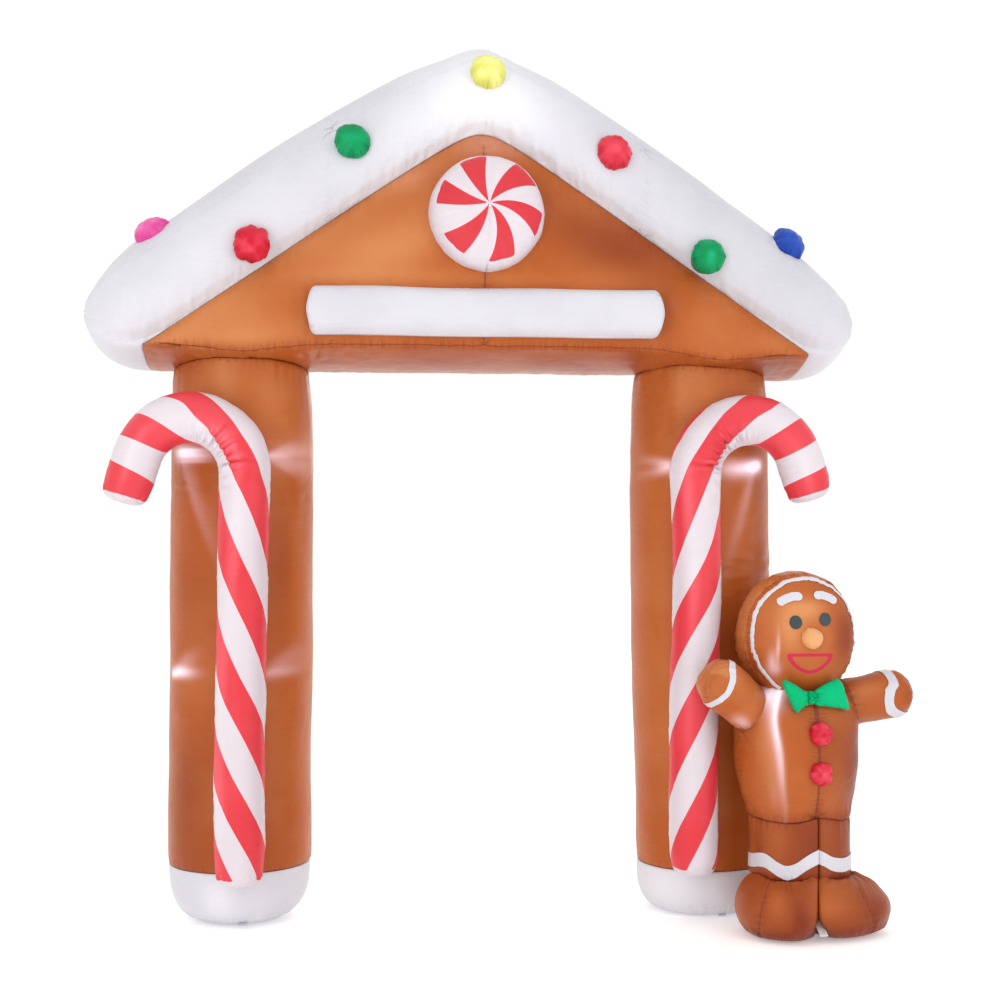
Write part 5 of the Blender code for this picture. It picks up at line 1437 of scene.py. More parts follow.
feet = {
    "sections": [(0.0, 0.056, 0.080, 0.010), (0.006, 0.080, 0.112, 0.010), (0.024, 0.104, 0.140, 0.012),
                 (0.056, 0.119, 0.156, 0.014), (0.092, 0.123, 0.158, 0.014), (0.128, 0.116, 0.148, 0.012),
                 (0.158, 0.097, 0.124, 0.008), (0.178, 0.068, 0.090, 0.004), (0.188, 0.028, 0.038, 0.0)],
    "middle": {"left": 0.106, "right": 0.112}, "extra": {"left": 0.0, "right": 0.006},
    "shoulder": {"left": 0.0, "right": 0.022}, "split": 0.019, "forward": 0.032, "power": 2.2, "rows": 76,
    "sides": 120,
    "press": [(0.0, 2.2), (0.03, 3.0), (0.065, 6.0), (0.10, 16.0), (0.19, 18.0)], "lean": 0.47,
    # painted light and shade (rows as in spots, across in degrees)
    "paintedShading": {"left": [(-26, 0.125, 18, 20, 0.05, 0.04, 0, 0.50),
                       (-72, 0.10, 18, 12, 0.08, 0.08, 0, -0.16),
                       (16, 0.07, 14, 20, 0.06, 0.06, 0, -0.38), (52, 0.10, 18, 18, 0.05, 0.04, 0, 0.30),
                       (0, 0.06, 99, 99, 0.4, 0.4, 0, -0.66)],
              "right": [(-35, 0.115, 26, 24, 0.06, 0.05, 0, 0.50),
                        (24, 0.09, 16, 24, 0.08, 0.08, 0, -0.32),
                        (-80, 0.08, 14, 10, 0.08, 0.08, 0, -0.45), (70, 0.08, 24, 30, 0.1, 0.1, 0, -0.25),
                        (0, 0.06, 99, 99, 0.4, 0.4, 0, -0.74)]},
    # degrees from the front, at the top and at the floor
    "toeSeams": {"left": (-44, -62), "right": (0, 26)},
}


# a point on a part of an oval that is pressed flat against its twin at the split: both share one big oval
def pressedOval(angle, way, split, own, halfX, halfY, wholeMiddle, wholeHalf, power, press):
    dx, dy = halfX * np.sin(angle), -halfY * np.cos(angle)
    low, high = np.zeros(np.shape(dx + wholeHalf)), np.full(np.shape(dx + wholeHalf), 4.0)
    for _ in range(22):
        middle = (low + high) / 2
        beyond = (np.abs((own + dx * middle - wholeMiddle) / wholeHalf) ** power
                  + np.abs(dy * middle / halfY) ** power) > 1
        high = np.where(beyond, middle, high)
        low = np.where(beyond, low, middle)
    toOval = (low + high) / 2
    toPlane = np.maximum(way * (own - split) - 0.0004, 1e-4) / np.maximum(-way * dx, 1e-6)
    reach = (toOval**-press + toPlane**-press) ** (-1 / press)
    return own + dx * reach, dy * reach


def ovalPoint(angle, halfX, halfY, power):
    c, s = np.sin(angle), -np.cos(angle)          # angle 0 is the front
    return (halfX * np.sign(c) * np.abs(c) ** (2 / power), halfY * np.sign(s) * np.abs(s) ** (2 / power))


# squarer at the shoulders, and where the body meets the legs
def bodyPower(height):
    shoulder = body["shoulderPower"] * hump(height, 0.66, 0.07)
    return body["power"] + shoulder + 0.4 * hump(height, legs["waist"], 0.03)


# the waist sits a little toward the column's middle
def waistShift(height):
    return legs["middle"] * hump(height, legs["waist"], 0.05)


# the waist seam hangs a little lower at the front of each leg
def waistDip(points):
    front = np.clip(-points[..., 1] / 0.08, 0, 1)
    sag = 0.0055 * hump(points[..., 0], -0.062, 0.055) + 0.0025 * hump(points[..., 0], 0.090, 0.045)
    sag = sag - 0.0100 * hump(points[..., 0], 0.013, 0.050)
    return front * sag


def bodyBase(angle, height):
    halfWidth, halfDepth, forward = readRows(body["sections"], height)
    x, y = ovalPoint(angle, halfWidth, halfDepth, bodyPower(height))
    return np.stack([x + waistShift(height), y - forward, height], -1)


def insideBody(points, lift=0.0):
    halfWidth, halfDepth, forward = readRows(body["sections"], points[..., 2])
    x = np.abs(points[..., 0] - waistShift(points[..., 2])) / (halfWidth + lift)
    y = np.abs(points[..., 1] + forward) / (halfDepth + lift)
    power = bodyPower(points[..., 2])
    return (x**power + y**power < 1) & (points[..., 2] < 0.76 + lift) & (points[..., 2] > legs["waist"])


def bodyRelief(angle, height, points):
    toWaist = height - legs["waist"]
    toFront = np.abs(angleGap(angle, 0.0)) * 0.17
    toBack = np.abs(angleGap(angle, math.pi)) * 0.17
    toSide = np.abs(np.abs(angleGap(angle, 0.0)) - math.pi / 2) * 0.16
    armHole = np.hypot(toSide, (height - 0.655) * 1.0) - 0.062
    raised = -0.0045 * np.exp(-((toFront / 0.006) ** 2)) - 0.003 * np.exp(-((toBack / 0.006) ** 2))
    raised += seamFolds(0.0016, height, toFront, 0.020, 301, 0.030)
    raised += seamFolds(0.0020, height, toSide, 0.018, 303, 0.022)
    raised += ringFolds(0.0036, angle, 0.16, toWaist, 0.022, 305, 0.030)
    raised += seamFolds(0.0036, angle * 0.1 + height, np.abs(armHole), 0.020, 307, 0.028)
    raised += ringFolds(0.0035, angle, 0.12, 0.76 - height, 0.020, 311, 0.030)
    return raised + 0.0035 * softNoise(points, 0.085, 313) + 0.0010 * softNoise(points, 0.03, 315)


def makeBody():
    height = np.linspace(body["sections"][0][0], body["sections"][-1][0], body["rows"])
    angle = onceRound(body["sides"])
    gridHeight, gridAngle = crossGrid(height, angle)
    local = layCloth(bodyBase, bodyRelief, gridAngle, gridHeight, steps=(1e-3, 5e-4))
    local[..., 2] = np.clip(local[..., 2], 0.3452, 0.762)
    local[..., 2] -= waistDip(local) * np.clip(1 - (local[..., 2] - 0.3452) / 0.10, 0, 1)
    points = toWorld(local)
    # the back rests against the column
    wallX = points[..., 0] - archShift[0] - column["middles"]["right"]
    reach = 0.2225**2 - wallX**2
    wall = np.where(reach > 0, -np.sqrt(np.maximum(reach, 0)) - 0.001, 9.0) + archShift[1]
    points[..., 1] = np.minimum(points[..., 1], np.maximum(wall, points[..., 1].min()))
    toFront = np.abs(angleGap(gridAngle, 0.0)) * 0.17
    toBack = np.abs(angleGap(gridAngle, math.pi)) * 0.17
    toWaist = gridHeight - legs["waist"]
    toSide = np.abs(np.abs(angleGap(gridAngle, 0.0)) - math.pi / 2) * 0.16
    seam = np.minimum(np.minimum(toFront, toBack), np.minimum(toWaist, toSide + 0.003))
    run = np.where(toWaist <= seam, gridAngle * 0.16, gridHeight)
    degrees = degreesRound(gridAngle)
    # painted highlights as glow, and painted light and shade
    glow = spots(degrees, gridHeight, body["shine"])
    paintedLightAndMottle = spots(degrees, gridHeight, body["paintedShading"]) + uneven(points, 551)
    piece = makeSkin("bodySkin", points, {"seam": seam, "run": run, "glow": glow, "paintedLightAndMottle": paintedLightAndMottle})
    return dress(piece, "figure_body", brownSatin)


makeBody()


head = {
    "centre": np.array([-0.010, -0.005, 0.889]), "halfWidth": 0.166, "halfHeight": 0.184,
    "halfGusset": 0.062,
    "puff": 0.078, "rows": 60, "gussetRows": 30, "sides": 176,
    "gusset": [(0.0, 0.062, 1.0), (0.25, 0.036, 1.035), (0.5, 0.0, 1.055), (0.75, -0.036, 1.035),
               (1.0, -0.062, 1.0)],
    # painted highlight streaks, and painted light and shade, as (x, z) from the face's middle
    "shine": [(-0.083, -0.035, 0.006, 0.004, 0.04, 0.045, 0, 0.40),
              (-0.098, -0.07, 0.014, 0.010, 0.03, 0.03, 0, 0.34),
              (-0.085, -0.095, 0.02, 0.014, 0.02, 0.02, 0, 0.30)],
    "paintedShading": [(-0.050, 0.030, 0.04, 0.04, 0.07, 0.06, 0, 0.66),
              (0.0, 0.085, 0.06, 0.05, 0.035, 0.025, 0, 0.68),
              (0.01, -0.075, 0.05, 0.05, 0.04, 0.03, 0, 0.12),
              (0.13, 0.0, 0.05, 0.04, 0.10, 0.10, 0, -0.60),
              (0.0, 0.16, 0.2, 0.2, 0.025, 0.05, 0, -0.12),
              (0.06, 0.14, 0.05, 0.05, 0.04, 0.04, 0, -0.15),
              (0.06, 0.0, 0.02, 0.02, 0.04, 0.04, 0, 0.10)],
    # painted light and shade on the gusset
    "sidePaintedShading": [(-0.16, 0.0, 0.06, 0.06, 0.09, 0.10, 0, 0.34),
                  (-0.12, 0.12, 0.06, 0.06, 0.06, 0.06, 0, 0.42),
                  (0.12, 0.10, 0.08, 0.08, 0.10, 0.08, 0, -0.25)],
    # printed mouth, from the face's middle: half width, top, bottom and line width
    "mouth": {"x": 0.011, "top": -0.052, "halfWidth": 0.063, "drop": 0.051, "line": 0.0102,
              "power": 1.65},
}


# v from 0 at the face's middle to 1 at its rim, to 2 across the gusset, to 3 at the back's middle
def headBase(angle, v):
    share = np.abs(np.where(v < 1, v, np.clip(3 - v, 0, 1)))
    puff = head["puff"] * (1 - np.minimum(share, 1) ** 2.2) ** 0.72
    depth = head["halfGusset"] + puff
    y = np.where(v < 1, -depth, depth)
    gussetDepth, bulge = readRows(head["gusset"], np.clip(v - 1, 0, 1))
    onGusset = (v >= 1) & (v < 2)
    y = np.where(onGusset, -gussetDepth, y)
    radius = np.where(onGusset, bulge, share)
    return head["centre"] + np.stack([head["halfWidth"] * radius * np.cos(angle), y,
                                      head["halfHeight"] * radius * np.sin(angle)], -1)


def headSeam(v):
    toRim = np.where(v < 1, (1 - v) * 0.21,
                     np.where(v < 2, np.minimum(v - 1, 2 - v) * 0.13, (v - 2) * 0.21))
    return np.abs(toRim)


def headRelief(angle, v, points):
    toRim = headSeam(v)
    onGusset = (v >= 1) & (v < 2)
    side = np.where(v < 1, 0.0, np.where(v < 2, 3.0, 6.0))
    depth = np.where(onGusset, 0.0052, 0.0030)
    raised = depth * gathersRound(angle, 0.175, toRim + side, 0.021, 331) * np.exp(-toRim / 0.034)
    raised += ringFolds(np.where(onGusset, 0.0, 0.0016), angle, 0.175, toRim, 0.018, 335, 0.075)
    raised -= 0.0030 * np.exp(-((toRim / 0.006) ** 2))
    return raised + 0.0030 * softNoise(points, 0.09, 337) + 0.0008 * softNoise(points, 0.03, 339)


def headPoints(angle, v, lift=0.0):
    return layCloth(headBase, headRelief, angle, v, lift, steps=(-1e-3, 1e-4))


def mouthPaint(x, z):
    mouth = head["mouth"]
    across = (x - mouth["x"]) / mouth["halfWidth"]
    below = (mouth["top"] - z) / mouth["drop"]
    half = mouth["line"] / 2
    squared = (np.abs(across) ** mouth["power"] + np.abs(below) ** mouth["power"]) ** (1 / mouth["power"])
    arcGap = np.abs(squared - 1) * mouth["drop"] * 0.92
    arcGap = np.where(below > 0, arcGap, 9.0)
    barGap = np.where(np.abs(across) < 1.08, np.abs(z - mouth["top"]), 9.0)
    return half - np.minimum(arcGap, barGap)


def headToWorld(points):
    return toWorld(points @ headToFigure[:3, :3].T)


def makeHead():
    face = np.sin(np.linspace(0.02, 1, head["rows"]) * math.pi / 2)
    gusset = 1 + np.linspace(0, 1, head["gussetRows"])[1:-1]
    v = np.concatenate([face * 0.9999, gusset, 3 - face[::-1] * 0.9999])
    angle = onceRound(head["sides"], -math.pi / 2)
    gridV, gridAngle = crossGrid(v, angle)
    local = headPoints(gridAngle, gridV)
    # the chin sits on the shoulders
    offset = local @ headToFigure[:3, :3].T
    sunk = insideBody(offset, 0.001)
    lifted = meetSurface(np.where(sunk[..., None], offset + [0, 0, 0.12], offset), offset,
                         lambda p: insideBody(p, 0.001))
    offset = np.where(sunk[..., None], lifted, offset)
    relative = local - head["centre"]
    paint = np.where(gridV < 1, mouthPaint(relative[..., 0], relative[..., 2]), -1.0)
    x, z = relative[..., 0], relative[..., 2]
    # painted highlights as glow, and painted light and shade on the face and gusset
    glow = np.where(gridV < 1, spots(x, z, head["shine"]), 0.0)
    paintedLightAndMottle = np.where(gridV < 1, spots(x, z, head["paintedShading"]) * 1.4,
                    spots(x, z, head["sidePaintedShading"])) + uneven(offset, 561)
    piece = makeSkin("headSkin", toWorld(offset),
                     {"seam": headSeam(gridV) + np.where(gridV < 1.5, 0.0040, 0.0),
                      "run": gridAngle * 0.175, "paint": paint, "glow": glow, "paintedLightAndMottle": paintedLightAndMottle})
    return dress(piece, "figure_head", brownFace)


makeHead()


# cloth cut to an outline and laid on the face; outline is (x, z) from the head's middle
def facePatch(name, node, outline, material, lift=0.0012, thickness=0.0012, rows=9):
    outline = np.array(outline)
    middle = outline.mean(0)
    rings = []
    scales = np.linspace(0.12, 1.0, rows)
    for layer, order in ((lift, scales), (lift + thickness, scales[::-1])):
        for scale in order:
            x, z = (middle + (outline - middle) * scale).T
            v = np.hypot(x / head["halfWidth"], z / head["halfHeight"])
            angle = np.arctan2(z / head["halfHeight"], x / head["halfWidth"])
            rings.append(headPoints(angle, v, layer))
    piece = makeSkin(name, headToWorld(np.array(rings)), sharpAngle=50)
    dress(piece, node, material)
    return piece


# a band of cloth on the face between two lines of (x, z) points
def faceBand(name, node, lower, upper, material, lift=0.0012, thickness=0.0012):
    share = np.linspace(0, 1, 12)[None, :, None]
    cloth = lower[:, None] * (1 - share) + upper[:, None] * share
    v = np.hypot(cloth[..., 0] / head["halfWidth"], cloth[..., 1] / head["halfHeight"])
    angle = np.arctan2(cloth[..., 1] / head["halfHeight"], cloth[..., 0] / head["halfWidth"])
    under = headPoints(angle, v, lift)
    over = headPoints(angle, v, lift + thickness)
    piece = makeSkin(name, headToWorld(np.concatenate([under, over[:, ::-1]], 1)), sharpAngle=50)
    dress(piece, node, material)
    return piece


def smoothOutline(points, count):
    # closed smooth line through a few points
    points = np.array(points, float)
    n = len(points)
    t = np.linspace(0, n, count, endpoint=False)
    i = t.astype(int)
    f = (t - i)[:, None]
    p0, p1, p2, p3 = (points[(i + k) % n] for k in (-1, 0, 1, 2))
    return 0.5 * (2 * p1 + (p2 - p0) * f + (2 * p0 - 5 * p1 + 4 * p2 - p3) * f**2
                  + (3 * p1 - p0 - 3 * p2 + p3) * f**3)


face = {
    "eyes": {"left": (-0.034, 0.044, 0.018, 0.020), "right": (0.055, 0.052, 0.018, 0.0195)},
    # middle line of each brow as (x, z) from the face's middle, tip to tip
    "brows": {"left": [(-0.080, 0.097), (-0.062, 0.109), (-0.036, 0.118), (-0.009, 0.118)],
              "right": [(0.026, 0.121), (0.052, 0.121), (0.075, 0.113), (0.095, 0.101)]},
    "browWidth": 0.0235,
}


def makeFace():
    turn = onceRound(60, 0.0)
    for side in ("left", "right"):
        x, z, halfWidth, halfHeight = face["eyes"][side]
        outline = [(x + halfWidth * math.cos(a), z + halfHeight * math.sin(a)) for a in turn]
        facePatch("eyePatch_" + side, "eye_" + side, outline, blackTrim)
        line = np.array(face["brows"][side])
        ends = face["browWidth"] / 2 / 0.075
        spread = np.sin(np.linspace(-1, 1, 46) * math.pi / 2 * 0.99)
        t = (spread + 1) / 2
        middle = smoothTable([(i / 3, *point) for i, point in enumerate(line)], t)
        heading = unit(np.gradient(middle, axis=0))
        square = np.stack([-heading[:, 1], heading[:, 0]], -1)
        past = np.maximum(np.abs(spread) - (1 - 2 * ends), 0) / (2 * ends)
        half = face["browWidth"] / 2 * np.sqrt(1 - past**2)
        faceBand("browPatch_" + side, "brow_" + side, middle - square * half[:, None],
                 middle + square * half[:, None], whiteTrim)


makeFace()


icing = {
    "from": 8.0, "to": 244.0,    # degrees round the face from its right side
    # inner and outer edge as shares of the face's rim, by degrees
    "edges": [(8.0, 0.940, 0.990), (40.0, 0.940, 0.993), (66.0, 0.915, 0.968), (95.0, 0.892, 0.943),
              (150.0, 0.885, 0.937), (200.0, 0.885, 0.937), (244.0, 0.888, 0.940)],
    "rows": 360, "across": 10, "lift": 0.0012, "thickness": 0.0013,
}


def makeHeadIcing():
    angle = np.radians(np.linspace(icing["from"], icing["to"], icing["rows"]))
    t = np.linspace(0, 1, icing["across"])
    wobble = 0.006 * softNoise(np.stack([angle, angle * 0, angle * 0], -1), 0.16, 351)
    edge = 0.006 * softNoise(np.stack([angle, angle * 0, angle * 0], -1), 0.05, 353)
    inner, outer = readRows(icing["edges"], np.degrees(angle))
    inner, outer = inner + wobble - edge, outer + wobble + edge
    v = inner[:, None] + (outer - inner)[:, None] * t[None, :]
    crown = 0.0016 * np.sin(math.pi * t)[None, :]
    low = headPoints(angle[:, None] + v * 0, v, icing["lift"])
    high = headPoints(angle[:, None] + v * 0, v, icing["lift"] + icing["thickness"] + crown)
    points = np.concatenate([low, high[:, ::-1]], 1)
    piece = makeSkin("icingBand_head", headToWorld(points), sharpAngle=50)
    dress(piece, "icing_head", whiteTrim)
    return piece


makeHeadIcing()


def makeNose():
    centre = head["centre"] + np.array([0.014, -head["halfGusset"] - head["puff"] - 0.002, -0.003])
    polar = np.linspace(0.02, 0.86, 44) * math.pi
    angle = onceRound(72, 0.0)
    gridPolar, gridAngle = crossGrid(polar, angle)
    topLeft = 0.35 + 0.65 * hump(np.degrees(angleGap(gridAngle, math.radians(125))), 0.0, 70)
    offPole = np.clip((gridPolar - 0.5) / 1.3, 0, 1) ** 1.5
    lobes = 0.0034 * topLeft * gathersRound(gridAngle, 0.033, gridPolar * 0.03, 0.014, 361) * offPole
    lobes += 0.0016 * softNoise(discPlace(gridPolar, gridAngle), 0.7, 365)
    radius = 0.0318 + lobes
    local = centre + np.stack([radius * np.sin(gridPolar) * np.cos(gridAngle),
                               -0.031 * np.cos(gridPolar) + 0.004,
                               radius * np.sin(gridPolar) * np.sin(gridAngle)], -1)
    seam = (0.86 * math.pi - gridPolar) * 0.03 + 0.003
    # the whole nose painted in the material's lit colour
    piece = makeSkin("noseSkin", headToWorld(local),
                     {"seam": seam, "run": gridAngle * 0.03, "paintedLightAndMottle": 0.95})
    return dress(piece, "nose", brownPale)


makeNose()


arm = {
    "length": 0.2602,
    "profile": [(0.0, 0.068), (0.07, 0.071), (0.13, 0.0715), (0.18, 0.0745), (0.215, 0.0715),
                (0.24, 0.059),
                (0.255, 0.037), (0.2598, 0.013), (0.2602, 0.002)],
    "left": {"root": (-0.124, -0.020, 0.645), "heading": (-0.80, -0.34, 0.56), "back": 0.040,
             "cuffWidth": 0.0175},
    "right": {"root": (0.104, 0.0, 0.672), "heading": (0.97, -0.06, 0.16), "back": 0.0,
              "cuffWidth": 0.029},
    "rows": 96, "sides": 98,
    # painted light and shade; rows as in spots: degrees round the arm, metres along it
    "paintedShading": {"left": [(170, 0.25, 60, 60, 0.03, 0.05, 0, 0.50),
                       (-90, 0.14, 40, 30, 0.05, 0.05, 0, -0.10),
                       (130, 0.17, 30, 30, 0.05, 0.05, 0, -0.30), (0, 0.12, 200, 200, 0.3, 0.3, 0, 0.18)],
              "right": [(30, 0.10, 16, 20, 0.06, 0.08, 0, 0.35),
                        (-60, 0.11, 30, 26, 0.06, 0.06, 0, -0.12),
                        (75, 0.10, 16, 30, 0.08, 0.08, 0, -0.35),
                        (-10, 0.24, 40, 40, 0.03, 0.03, 0, -0.35),
                        (0, 0.12, 200, 200, 0.3, 0.3, 0, -0.26)]},
    # painted highlights, as glow
    "shine": {"left": [(-118, 0.085, 16, 22, 0.03, 0.035, 0, 0.42)], "right": []},
    # degrees round the arm, metres along it
    "cuffs": {"left": [(-180, 0.226), (-150, 0.218), (-120, 0.216), (-90, 0.206), (-45, 0.184),
                       (0, 0.172),
                       (45, 0.182), (90, 0.206), (120, 0.224), (150, 0.232), (180, 0.226)],
              "right": [(-180, 0.190), (-135, 0.218), (-90, 0.228), (-60, 0.205), (-30, 0.168),
                        (-10, 0.160),
                        (15, 0.170), (30, 0.185), (50, 0.190), (90, 0.185), (135, 0.175), (180, 0.190)]},
}


def armShape(side):
    spec = arm[side]
    heading = np.array(Vector(spec["heading"]).normalized())
    across = np.array(Vector(heading).cross(Vector((0, 0, 1))).normalized())
    up = np.cross(across, heading)
    up = up / np.linalg.norm(up)
    root = np.array(spec["root"])
    seed = 371 if side == "left" else 381

    def base(angle, along):
        radius = smoothTable(arm["profile"], along)[..., 0]
        back = spec["back"] * np.clip(1 - along / 0.26, 0, 1) ** 2
        return (root + along[..., None] * heading + (radius * np.cos(angle))[..., None] * across
                + (radius * np.sin(angle))[..., None] * up + back[..., None] * np.array([0.0, 1.0, 0.0]))

    def relief(angle, along, points):
        toTip = np.clip(0.262 - along, 0, 1)
        toRoot = np.clip(along - 0.045, 0, 1)
        toSeam = np.abs(np.abs(angleGap(angle, 0.0)) - math.pi / 2) * 0.065
        poleShare = np.clip(smoothTable(arm["profile"], along)[..., 0] / 0.060, 0, 1)
        raised = ringFolds(0.0048 * poleShare**2, angle, 0.06, toTip, 0.017, seed, 0.040)
        raised += 0.0030 * softNoise(points, 0.026, seed + 6) * np.exp(-toTip / 0.050)
        raised += ringFolds(0.0036, angle, 0.06, toRoot, 0.018, seed + 1, 0.030)
        raised += seamFolds(0.0016, along, toSeam, 0.016, seed + 2, 0.014)
        raised += 0.0026 * softNoise(points, 0.06, seed + 3)
        return raised + 0.0008 * softNoise(points, 0.024, seed + 4)
    return base, relief, heading


def makeArm(side):
    base, relief, heading = armShape(side)
    t = np.linspace(0, 1, arm["rows"])
    along = arm["length"] * (1 - (1 - t) ** 1.35)
    angle = onceRound(arm["sides"], 0.0)
    gridAlong, gridAngle = crossGrid(along, angle)
    local = layCloth(base, relief, gridAngle, gridAlong, steps=(-1e-3, 2e-4))
    sunk = insideBody(local, 0.0)
    outer = local + heading * 0.16
    met = meetSurface(outer, local, lambda p: insideBody(p, 0.0), 0.001)
    local = np.where(sunk[..., None], met, local)
    toSeam = np.abs(np.abs(angleGap(gridAngle, 0.0)) - math.pi / 2) * 0.065
    bodyAway = np.where(sunk, 0.0, np.maximum(gridAlong - 0.05, 0.002))
    poleShare = np.clip(smoothTable(arm["profile"], gridAlong)[..., 0] / 0.05, 0, 1)
    seam = np.minimum(toSeam + 0.002 + 0.02 * (1 - poleShare), bodyAway)
    run = np.where(toSeam < bodyAway, gridAlong, gridAngle * 0.06)
    degrees = degreesRound(gridAngle)
    # painted light and shade, with slow random unevenness, and painted highlights as glow
    paintedLightAndMottle = spots(degrees, gridAlong, arm["paintedShading"][side]) + uneven(local, 571, 1.3)
    glow = spots(degrees, gridAlong, arm["shine"][side])
    piece = makeSkin("armSkin_" + side, toWorld(local),
                     {"seam": seam, "run": run, "glow": glow, "paintedLightAndMottle": paintedLightAndMottle})
    dress(piece, "arm_" + side, brownSatin)

    turn = onceRound(180)
    middle = smoothTable(arm["cuffs"][side], np.degrees(turn))[..., 0]
    wobble = 0.0010 * softNoise(np.stack([np.cos(turn), np.sin(turn), turn * 0], -1), 0.3, 391)
    t = np.linspace(-0.5, 0.5, 9)
    # keeps the strip one width where it slants
    lean = np.gradient(middle, turn) / 0.066
    tall = arm[side]["cuffWidth"] * np.sqrt(1 + lean**2)
    alongs = middle[:, None] + wobble[:, None] + tall[:, None] * t[None, :]
    section = stripSection(base, relief, turn, alongs, (-1e-3, 2e-4))
    piece = makeBand("icingCuff_" + side, toWorld(section))
    dress(piece, "icing_arm_" + side, whiteTrim)


# a thin strip laid on a limb, as [round the limb, round the strip]
def stripSection(base, relief, turn, along, steps):
    turns = turn[:, None] + along * 0
    low = layCloth(base, relief, turns, along, 0.0011, steps)
    high = layCloth(base, relief, turns, along, 0.0024, steps)
    return np.concatenate([low, high[:, ::-1]], 1)


# a strip that closes on itself: both ways of the grid join up
def makeBand(name, points):
    rows, columns = points.shape[:2]
    closed = np.concatenate([points, points[:1]])
    piece = makeSkin(name, closed, sharpAngle=50)
    mesh = piece.data
    build = bmesh.new()
    build.from_mesh(mesh)
    build.verts.ensure_lookup_table()
    ends = [build.verts[(rows + 1) * columns], build.verts[(rows + 1) * columns + 1]]
    bmesh.ops.delete(build, geom=ends, context="VERTS")
    build.verts.ensure_lookup_table()
    pairs = {build.verts[rows * columns + i]: build.verts[i] for i in range(columns)}
    bmesh.ops.weld_verts(build, targetmap=pairs)
    build.to_mesh(mesh)
    build.free()
    mesh.set_sharp_from_angle(angle=math.radians(50))
    return piece


for side in ("left", "right"):
    makeArm(side)


def legShape(way):
    halfWidth = (legs["reach"] + way * (legs["middle"] - legs["split"])) / 2
    own = legs["split"] + way * halfWidth

    def base(angle, height):
        share = smoothTable(legs["shape"], height)[..., 0]
        x, y = pressedOval(angle, way, legs["split"], own, halfWidth * share, legs["halfDepth"] * share,
                           legs["middle"], legs["reach"] * share, legs["power"], legs["press"])
        return np.stack([x, y, height], -1)

    def relief(angle, height, points):
        toTop, toBottom = legs["waist"] - height, height - legs["ankle"]
        inner = np.clip(way * (points[..., 0] - legs["split"]) / 0.02, 0, 1)
        raised = ringFolds(0.0032, angle, 0.1, toTop, 0.020, 401 + way, 0.030)
        raised += ringFolds(0.0032, angle, 0.1, toBottom, 0.020, 403 + way, 0.030)
        raised += 0.0028 * softNoise(points, 0.07, 405 + way)
        return raised * inner
    return base, relief


def makeLeg(side, way):
    base, relief = legShape(way)
    height = np.linspace(legs["ankle"], 0.34475, legs["rows"])
    angle = onceRound(legs["sides"])
    gridHeight, gridAngle = crossGrid(height, angle)
    local = layCloth(base, relief, gridAngle, gridHeight, steps=(1e-3, 5e-4))
    local[..., 0] = legs["split"] + way * np.maximum(way * (local[..., 0] - legs["split"]), 0.0004)
    local[..., 2] = np.clip(local[..., 2], legs["ankle"], 0.3447)
    local[..., 2] -= waistDip(local) * np.clip((local[..., 2] - 0.245) / 0.0997, 0, 1)
    seam = np.minimum(legs["waist"] - gridHeight, gridHeight - legs["ankle"])
    degrees = degreesRound(gridAngle)
    # painted light and shade, with slow random unevenness
    paintedLightAndMottle = spots(degrees, gridHeight, legs["paintedShading"][side]) + uneven(local, 581)
    piece = makeSkin("legSkin_" + side, toWorld(local),
                     {"seam": seam, "run": gridAngle * 0.1, "paintedLightAndMottle": paintedLightAndMottle})
    dress(piece, "leg_" + side, brownSatin)


